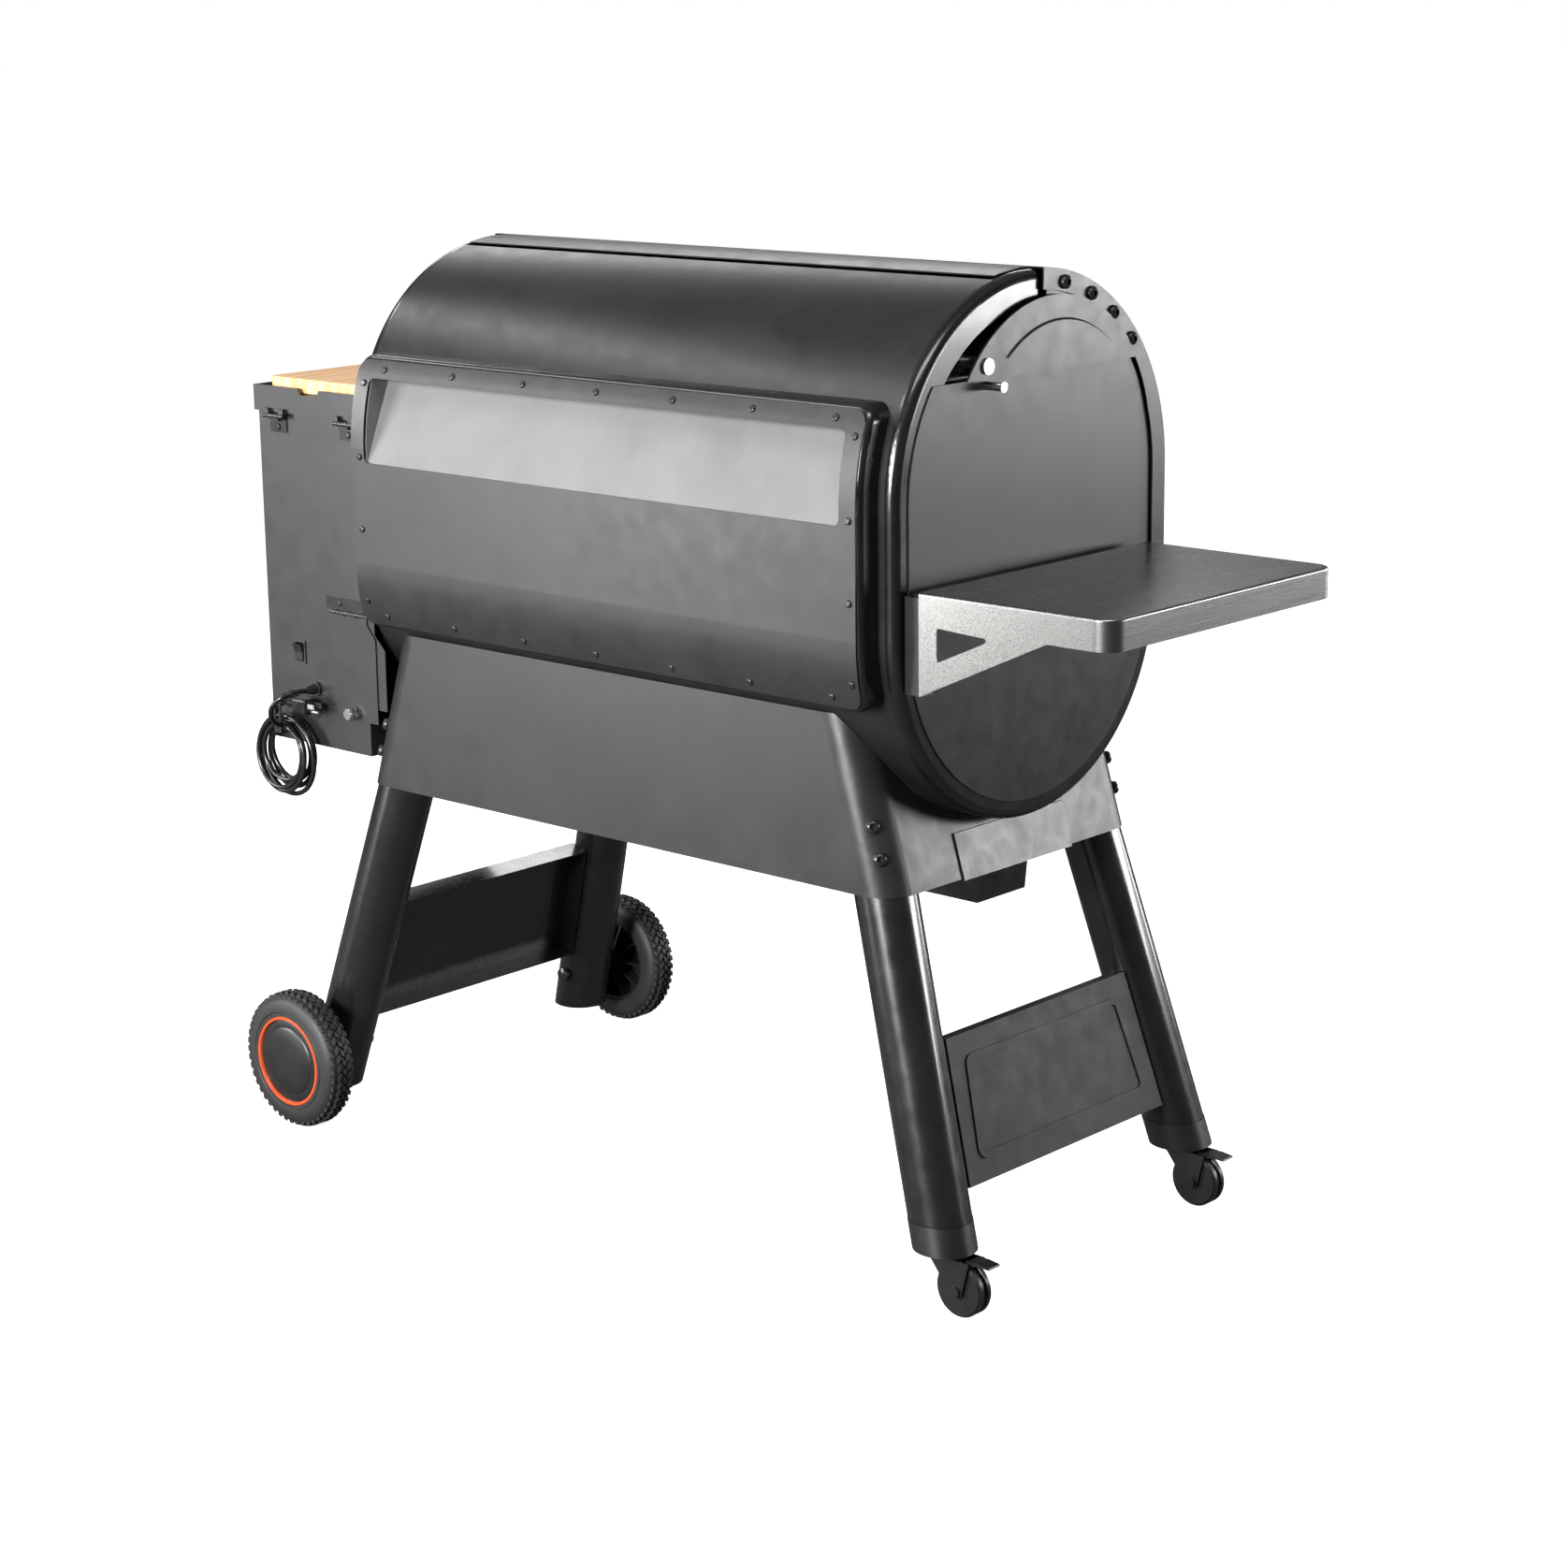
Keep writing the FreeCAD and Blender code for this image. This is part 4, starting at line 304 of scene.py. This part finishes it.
# darker and lighter colour, roughness, grain scale, grain depth in metres, clear coat
COATS = {
    "black_coat": ((0.0065, 0.0065, 0.007), (0.012, 0.012, 0.013), 0.33, 430, 0.00007),
    "satin_coat": ((0.011, 0.011, 0.012), (0.018, 0.018, 0.0192), 0.36, 480, 0.00005),
    "leg_coat": ((0.006, 0.006, 0.0065), (0.011, 0.011, 0.0115), 0.25, 400, 0.00003, 0.55),
    # the leg coat made rougher and darker for the shelf-side leg panel; its darker colour is painted shade
    "panel_coat_painted_shade": ((0.004, 0.004, 0.0045), (0.007, 0.007, 0.0075), 0.55, 300, 0.00005),
    # duct deflector sheet: lighter grey, partly its own satin grey and partly painted reflection of the
    # bright light it faces
    "sheet_grey_and_painted_sheen": ((0.115, 0.115, 0.115), (0.15, 0.15, 0.15), 0.42, 1100, 0.00012),
    "gloss_black": ((0.004, 0.004, 0.0045), (0.007, 0.007, 0.008), 0.24, 300, 0.00003, 0.3),
    "screw_black": ((0.010, 0.010, 0.011), (0.022, 0.022, 0.024), 0.24, 900, 0.00003),
    "grate_enamel": ((0.012, 0.012, 0.013), (0.030, 0.030, 0.030), 0.34, 620, 0.0002),
    "black_plastic": ((0.007, 0.007, 0.0075), (0.014, 0.014, 0.015), 0.36, 1300, 0.0001),
    "cord_plastic": ((0.005, 0.005, 0.0055), (0.010, 0.010, 0.0105), 0.22, 900, 0.00003),
    "tyre_rubber": ((0.009, 0.009, 0.009), (0.020, 0.0195, 0.019), 0.55, 1000, 0.00018),
    "orange": ((0.50, 0.060, 0.016), (0.58, 0.080, 0.022), 0.32, 1200, 0.00004),
}
STEEL = (0.30, 0.30, 0.31), (0.56, 0.56, 0.57)
# darker and lighter colour, roughness, lines per metre along each axis, line depth in metres
METALS = {
    "stainless": ((0.283, 0.280, 0.274), (0.307, 0.304, 0.298), 0.27, (900, 6, 900), 0.000002),
    "tube_steel": ((0.40, 0.39, 0.38), (0.58, 0.57, 0.56), 0.26, (5, 900, 900)),
    "bare_steel": (*STEEL, 0.38, (60, 60, 60)),
    "zinc": ((0.62, 0.62, 0.60), (0.80, 0.80, 0.78), 0.20, (240, 240, 240)),
    "aluminium_cast": (*STEEL, 0.45, (300, 300, 300)),
}


def make_materials():
    made = {name: coat(name, *values) for name, values in COATS.items()}
    made.update({name: brushed(name, *values) for name, values in METALS.items()})
    made.update(board_wood=wood(), floor=pale_floor(), plug_plastic=plug_plastic())
    return made


SATIN_NODES = ("duct_cover", "end_plate_shelf", "end_plate_hopper", "hopper_body", "hopper_lid",
               "cleanout_door", "skirt")
LEG_NODES = ("leg_front_shelf", "leg_rear_shelf", "leg_front_hopper", "leg_rear_hopper", "leg_panel_hopper")
# nodes whose finish differs from their slot's
# the duct deflector's lighter grey is partly its own colour and partly painted reflection
FINISH = {"duct_deflector": "sheet_grey_and_painted_sheen", "power_plug": "plug_plastic", "lid_handle": "tube_steel",
          # the shelf-side leg panel gets a darker copy of the leg coat: painted shade
          "leg_panel_shelf": "panel_coat_painted_shade", "caster_fork_front": "black_plastic",
          "caster_fork_rear": "black_plastic", "cord_hook": "screw_black", "hopper_hinges": "screw_black",
          **dict.fromkeys(SATIN_NODES, "satin_coat"), **dict.fromkeys(LEG_NODES, "leg_coat")}


def dress_frame():
    """Gives every CAD node its material."""
    slots = {item["node"]: item["material_slot"] for item in frame["record"]["subparts"]}
    for name, thing in frame["nodes"].items():
        thing.data.materials.clear()
        thing.data.materials.append(MATERIALS[FINISH.get(name, slots[name])])


# ---------------------------------------------------------------- mesh helpers

SHARP_ANGLE = math.radians(34)


def to_object(name, mesh_data, material, body):
    """Makes a piece from a bmesh, smooth but for its sharp edges, and lets it ride on a body."""
    mesh = bpy.data.meshes.new(name)
    mesh_data.normal_update()
    mesh_data.to_mesh(mesh)
    mesh_data.free()
    thing = bpy.data.objects.new(name, mesh)
    mesh.materials.append(MATERIALS[material])
    bpy.context.scene.collection.objects.link(thing)
    for face in mesh.polygons:
        face.use_smooth = True
    mesh.set_sharp_from_angle(angle=SHARP_ANGLE)
    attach(thing, body)
    return thing


def turned(profile, steps=96, centre=(0, 0, 0), mirror=1):
    """Closed outline of (y, radius) points turned about the Y axis."""
    made = bmesh.new()
    rings = []
    for step in range(steps):
        angle = 2 * math.pi * step / steps
        rings.append([made.verts.new((centre[0] + r * math.cos(angle), centre[1] + mirror * y,
                                      centre[2] + r * math.sin(angle))) for y, r in profile])
    for ring, after in zip(rings, rings[1:] + rings[:1]):
        for index in range(len(profile)):
            follow = (index + 1) % len(profile)
            made.faces.new((ring[index], ring[follow], after[follow], after[index]))
    bmesh.ops.remove_doubles(made, verts=made.verts, dist=1e-6)
    bmesh.ops.recalc_face_normals(made, faces=made.faces)
    return made


# ---------------------------------------------------------------- wheels

WHEEL_RADIUS = 0.096
WHEEL_NEAR, WHEEL_FAR = 0.292, 0.338            # inner and outer side, from the middle of the grill
TREAD_ROWS, TREAD_COUNT = 5, 46
TREAD_LENGTH, TREAD_SKEW = 0.0088, 0.0020
SPOKES, SPOKE_HALF = 10, 0.0016


def tread_block(made, centre, across, angle, width, length, skew, base, top):
    """One tread block on the tyre's crown; across is its place along the axle."""
    corners = []
    for radius, shrink in ((base, 1.0), (top, 0.84)):
        for u, v in ((-1, -1), (1, -1), (1, 1), (-1, 1)):
            y = across + u * width / 2 * shrink
            turn = angle + (v * length / 2 * shrink + u * skew) / top
            corners.append(made.verts.new((centre[0] + radius * math.cos(turn), y,
                                           centre[2] + radius * math.sin(turn))))
    low, high = corners[:4], corners[4:]
    made.faces.new(high)
    made.faces.new(low[::-1])
    for index in range(4):
        follow = (index + 1) % 4
        made.faces.new((low[index], low[follow], high[follow], high[index]))


def make_wheel(side, front):
    """Tyre with a blocked tread, coloured ring, cap, spoked back and axle bolt."""
    body = f"{side}_wheel"
    low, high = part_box(f"wheel_{side}")
    centre = ((low[0] + high[0]) / 2, 0, (low[2] + high[2]) / 2)
    r, near, far = WHEEL_RADIUS, WHEEL_NEAR, WHEEL_FAR
    carcass = [(near, 0.0635), (near, r - 0.022), (near + 0.001, r - 0.0145), (near + 0.0035, r - 0.009),
               (near + 0.008, r - 0.0052), (near + 0.014, r - 0.0038), (far - 0.014, r - 0.0038),
               (far - 0.008, r - 0.0052), (far - 0.0035, r - 0.009), (far - 0.001, r - 0.0145),
               (far, r - 0.022), (far, 0.0700), (far - 0.0010, 0.0690), (far, 0.0680), (far, 0.0635)]
    tyre = to_object(f"tyre_{side}", turned(carcass, 120, centre, front), "tyre_rubber", body)
    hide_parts(f"wheel_{side}")
    treads = bmesh.new()
    pitch = (far - near - 0.008) / TREAD_ROWS
    for row in range(TREAD_ROWS):
        across = front * (near + 0.004 + pitch * (row + 0.5))
        # the outer rows sit lower, on the tyre's shoulders
        base, top = (r - 0.0115, r - 0.0036) if row in (0, TREAD_ROWS - 1) else (r - 0.006, r - 0.0003)
        for step in range(TREAD_COUNT):
            angle = 2 * math.pi * (step + 0.5 * (row % 2)) / TREAD_COUNT
            skew = TREAD_SKEW if row % 2 else -TREAD_SKEW
            tread_block(treads, centre, across, angle, pitch * 0.80, TREAD_LENGTH, skew, base, top)
    bmesh.ops.recalc_face_normals(treads, faces=treads.faces)
    to_object(f"tread_{side}", treads, "tyre_rubber", body)
    ring = [(far - 0.012, 0.0633), (far - 0.001, 0.0633), (far + 0.0005, 0.0622), (far + 0.0005, 0.0594),
            (far - 0.001, 0.0584), (far - 0.012, 0.0584)]
    to_object(f"hub_ring_{side}", turned(ring, 120, centre, front), "orange", body)
    cap = [(far - 0.012, 0.0583), (far - 0.0030, 0.0583), (far - 0.0022, 0.0560), (far - 0.0022, 0.0480),
           (far - 0.0012, 0.0466), (far - 0.0004, 0.0440), (far + 0.0006, 0.030), (far + 0.001, 0.012),
           (far + 0.001, 0.0), (far - 0.012, 0.0)]
    to_object(f"hub_cap_{side}", turned(cap, 96, centre, front), "black_plastic", body)
    rim = [(near + 0.003, 0.0633), (near + 0.003, 0.0585), (near + 0.020, 0.0565), (near + 0.030, 0.0565),
           (near + 0.030, 0.0633)]
    to_object(f"rim_{side}", turned(rim, 96, centre, front), "black_plastic", body)
    hub = [(near - 0.006, 0.0085), (near - 0.006, 0.015), (near + 0.018, 0.018), (far - 0.013, 0.018),
           (far - 0.013, 0.0085)]
    to_object(f"hub_{side}", turned(hub, 64, centre, front), "black_plastic", body)
    web = [(near + 0.021, 0.017), (near + 0.024, 0.017), (near + 0.024, 0.0575), (near + 0.021, 0.0575)]
    to_object(f"web_{side}", turned(web, 96, centre, front), "black_plastic", body)
    spokes = bmesh.new()
    for step in range(SPOKES):
        angle = 2 * math.pi * step / SPOKES
        outward = Vector((math.cos(angle), 0, math.sin(angle)))
        sideways = Vector((-math.sin(angle), 0, math.cos(angle)))
        ends = []
        for radius, lift in ((0.0165, near - 0.001), (0.0575, near + 0.005)):
            for shift, y in ((-1, lift), (1, lift), (1, near + 0.0215), (-1, near + 0.0215)):
                point = Vector(centre) + outward * radius + sideways * shift * SPOKE_HALF
                ends.append(spokes.verts.new((point.x, front * y, point.z)))
        for index in range(4):
            follow = (index + 1) % 4
            spokes.faces.new((ends[index], ends[follow], ends[4 + follow], ends[4 + index]))
        spokes.faces.new(ends[3::-1])
        spokes.faces.new(ends[4:])
    bmesh.ops.recalc_face_normals(spokes, faces=spokes.faces)
    to_object(f"spokes_{side}", spokes, "black_plastic", body)
    bolt = [(0.1876, 0.0), (0.1876, 0.0072), (0.1892, 0.010), (0.1956, 0.010), (0.1956, 0.006),
            (near + 0.002, 0.006), (near + 0.002, 0.0)]
    to_object(f"axle_bolt_{side}", turned(bolt, 6 * 8, centre, front), "screw_black", body)


# ---------------------------------------------------------------- power cord

CORD_RADIUS = 0.0035
LEAD_ROUTE = [(629, 250, 602), (629, 269, 603), (638, 288, 599), (652, 296, 584), (662, 290, 566),
              (666, 277, 554), (666, 260, 549)]
TAIL_ROUTE = [(692, 256, 565), (685, 257, 574), (678, 255, 579), (672, 254, 581)]
COIL_CENTRE = (0.679, 0.250, 0.507)
COIL_RADIUS = 0.0475
COIL_TURNS = 5.88
TURN_POINTS = 16
COIL_START, BUNCH_TURN = math.radians(14), math.radians(67)
COIL_SPREAD, FAN_SPREAD, FAN_SWING = 0.0078, 0.0034, 0.0052


def coil_route():
    """Loops that hang from the hook: together at the top, crossing and fanned out at the bottom."""
    x, y, z = COIL_CENTRE
    route = []
    for step in range(2, int(COIL_TURNS * TURN_POINTS) + 1):
        turns = step / TURN_POINTS
        angle = COIL_START + 2 * math.pi * turns
        bunch = BUNCH_TURN * turns
        fan = (1 - math.cos(angle)) / 2
        spread = COIL_SPREAD + FAN_SPREAD * fan
        radius = COIL_RADIUS + spread * math.sin(bunch)
        swing = FAN_SWING * fan * math.cos(2.3 * turns + 0.6)
        route.append((x - radius * math.sin(angle) + swing, y + spread * math.cos(bunch),
                      z + radius * math.cos(angle)))
    return route


def make_cord():
    """One smooth lead: out of its gland, into the hank and on to the plug."""
    points = [Vector(point) * MM for point in LEAD_ROUTE]
    points += [Vector(point) for point in coil_route()]
    points += [Vector(point) * MM for point in TAIL_ROUTE]
    data = bpy.data.curves.new("power_lead", "CURVE")
    data.dimensions = "3D"
    data.bevel_depth = CORD_RADIUS
    data.bevel_resolution = 5
    data.resolution_u = 8
    data.use_fill_caps = True
    line = data.splines.new("NURBS")
    line.points.add(len(points) - 1)
    for point, place in zip(line.points, points):
        point.co = (*place, 1)
    line.order_u = 3
    line.use_endpoint_u = True
    lead = bpy.data.objects.new("power_lead", data)
    data.materials.append(MATERIALS["cord_plastic"])
    bpy.context.scene.collection.objects.link(lead)
    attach(lead, "frame")
    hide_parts("power_cord", "cord_coil")


# ---------------------------------------------------------------- door knob

KNOB_STEPS, KNOB_RADIUS = 96, 0.0085
FLUTES, FLUTE_DEPTH = 24, 0.00045


def make_knob():
    """Fluted thumb screw of the clean-out door."""
    low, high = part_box("door_knob")
    x, z = (low[0] + high[0]) / 2, (low[2] + high[2]) / 2
    made = bmesh.new()
    base, tip, steps = low[1] + 0.0016, high[1], KNOB_STEPS
    levels = [(base, 0.5), (base, 0.93), (base + 0.001, 1.0), (tip - 0.0014, 1.0), (tip, 0.88), (tip, 0.5)]
    rings = []
    for y, share in levels:
        ring = []
        for step in range(steps):
            angle = 2 * math.pi * step / steps
            flute = FLUTE_DEPTH * math.cos(FLUTES * angle) if share > 0.9 else 0
            radius = KNOB_RADIUS * share + flute
            ring.append(made.verts.new((x + radius * math.cos(angle), y, z + radius * math.sin(angle))))
        rings.append(ring)
    for ring, after in zip(rings, rings[1:]):
        for index in range(steps):
            follow = (index + 1) % steps
            made.faces.new((ring[index], ring[follow], after[follow], after[index]))
    made.faces.new(rings[0])
    made.faces.new(rings[-1])
    bmesh.ops.recalc_face_normals(made, faces=made.faces)
    knob = to_object("thumb_screw", made, "zinc", "knob")
    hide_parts("door_knob")


# ---------------------------------------------------------------- scene

MATERIALS = make_materials()
make_camera()
make_stage()
dress_frame()
for side_name, side_sign in (("front", -1), ("rear", 1)):
    make_wheel(side_name, side_sign)
make_cord()
make_knob()
bpy.context.view_layer.update()
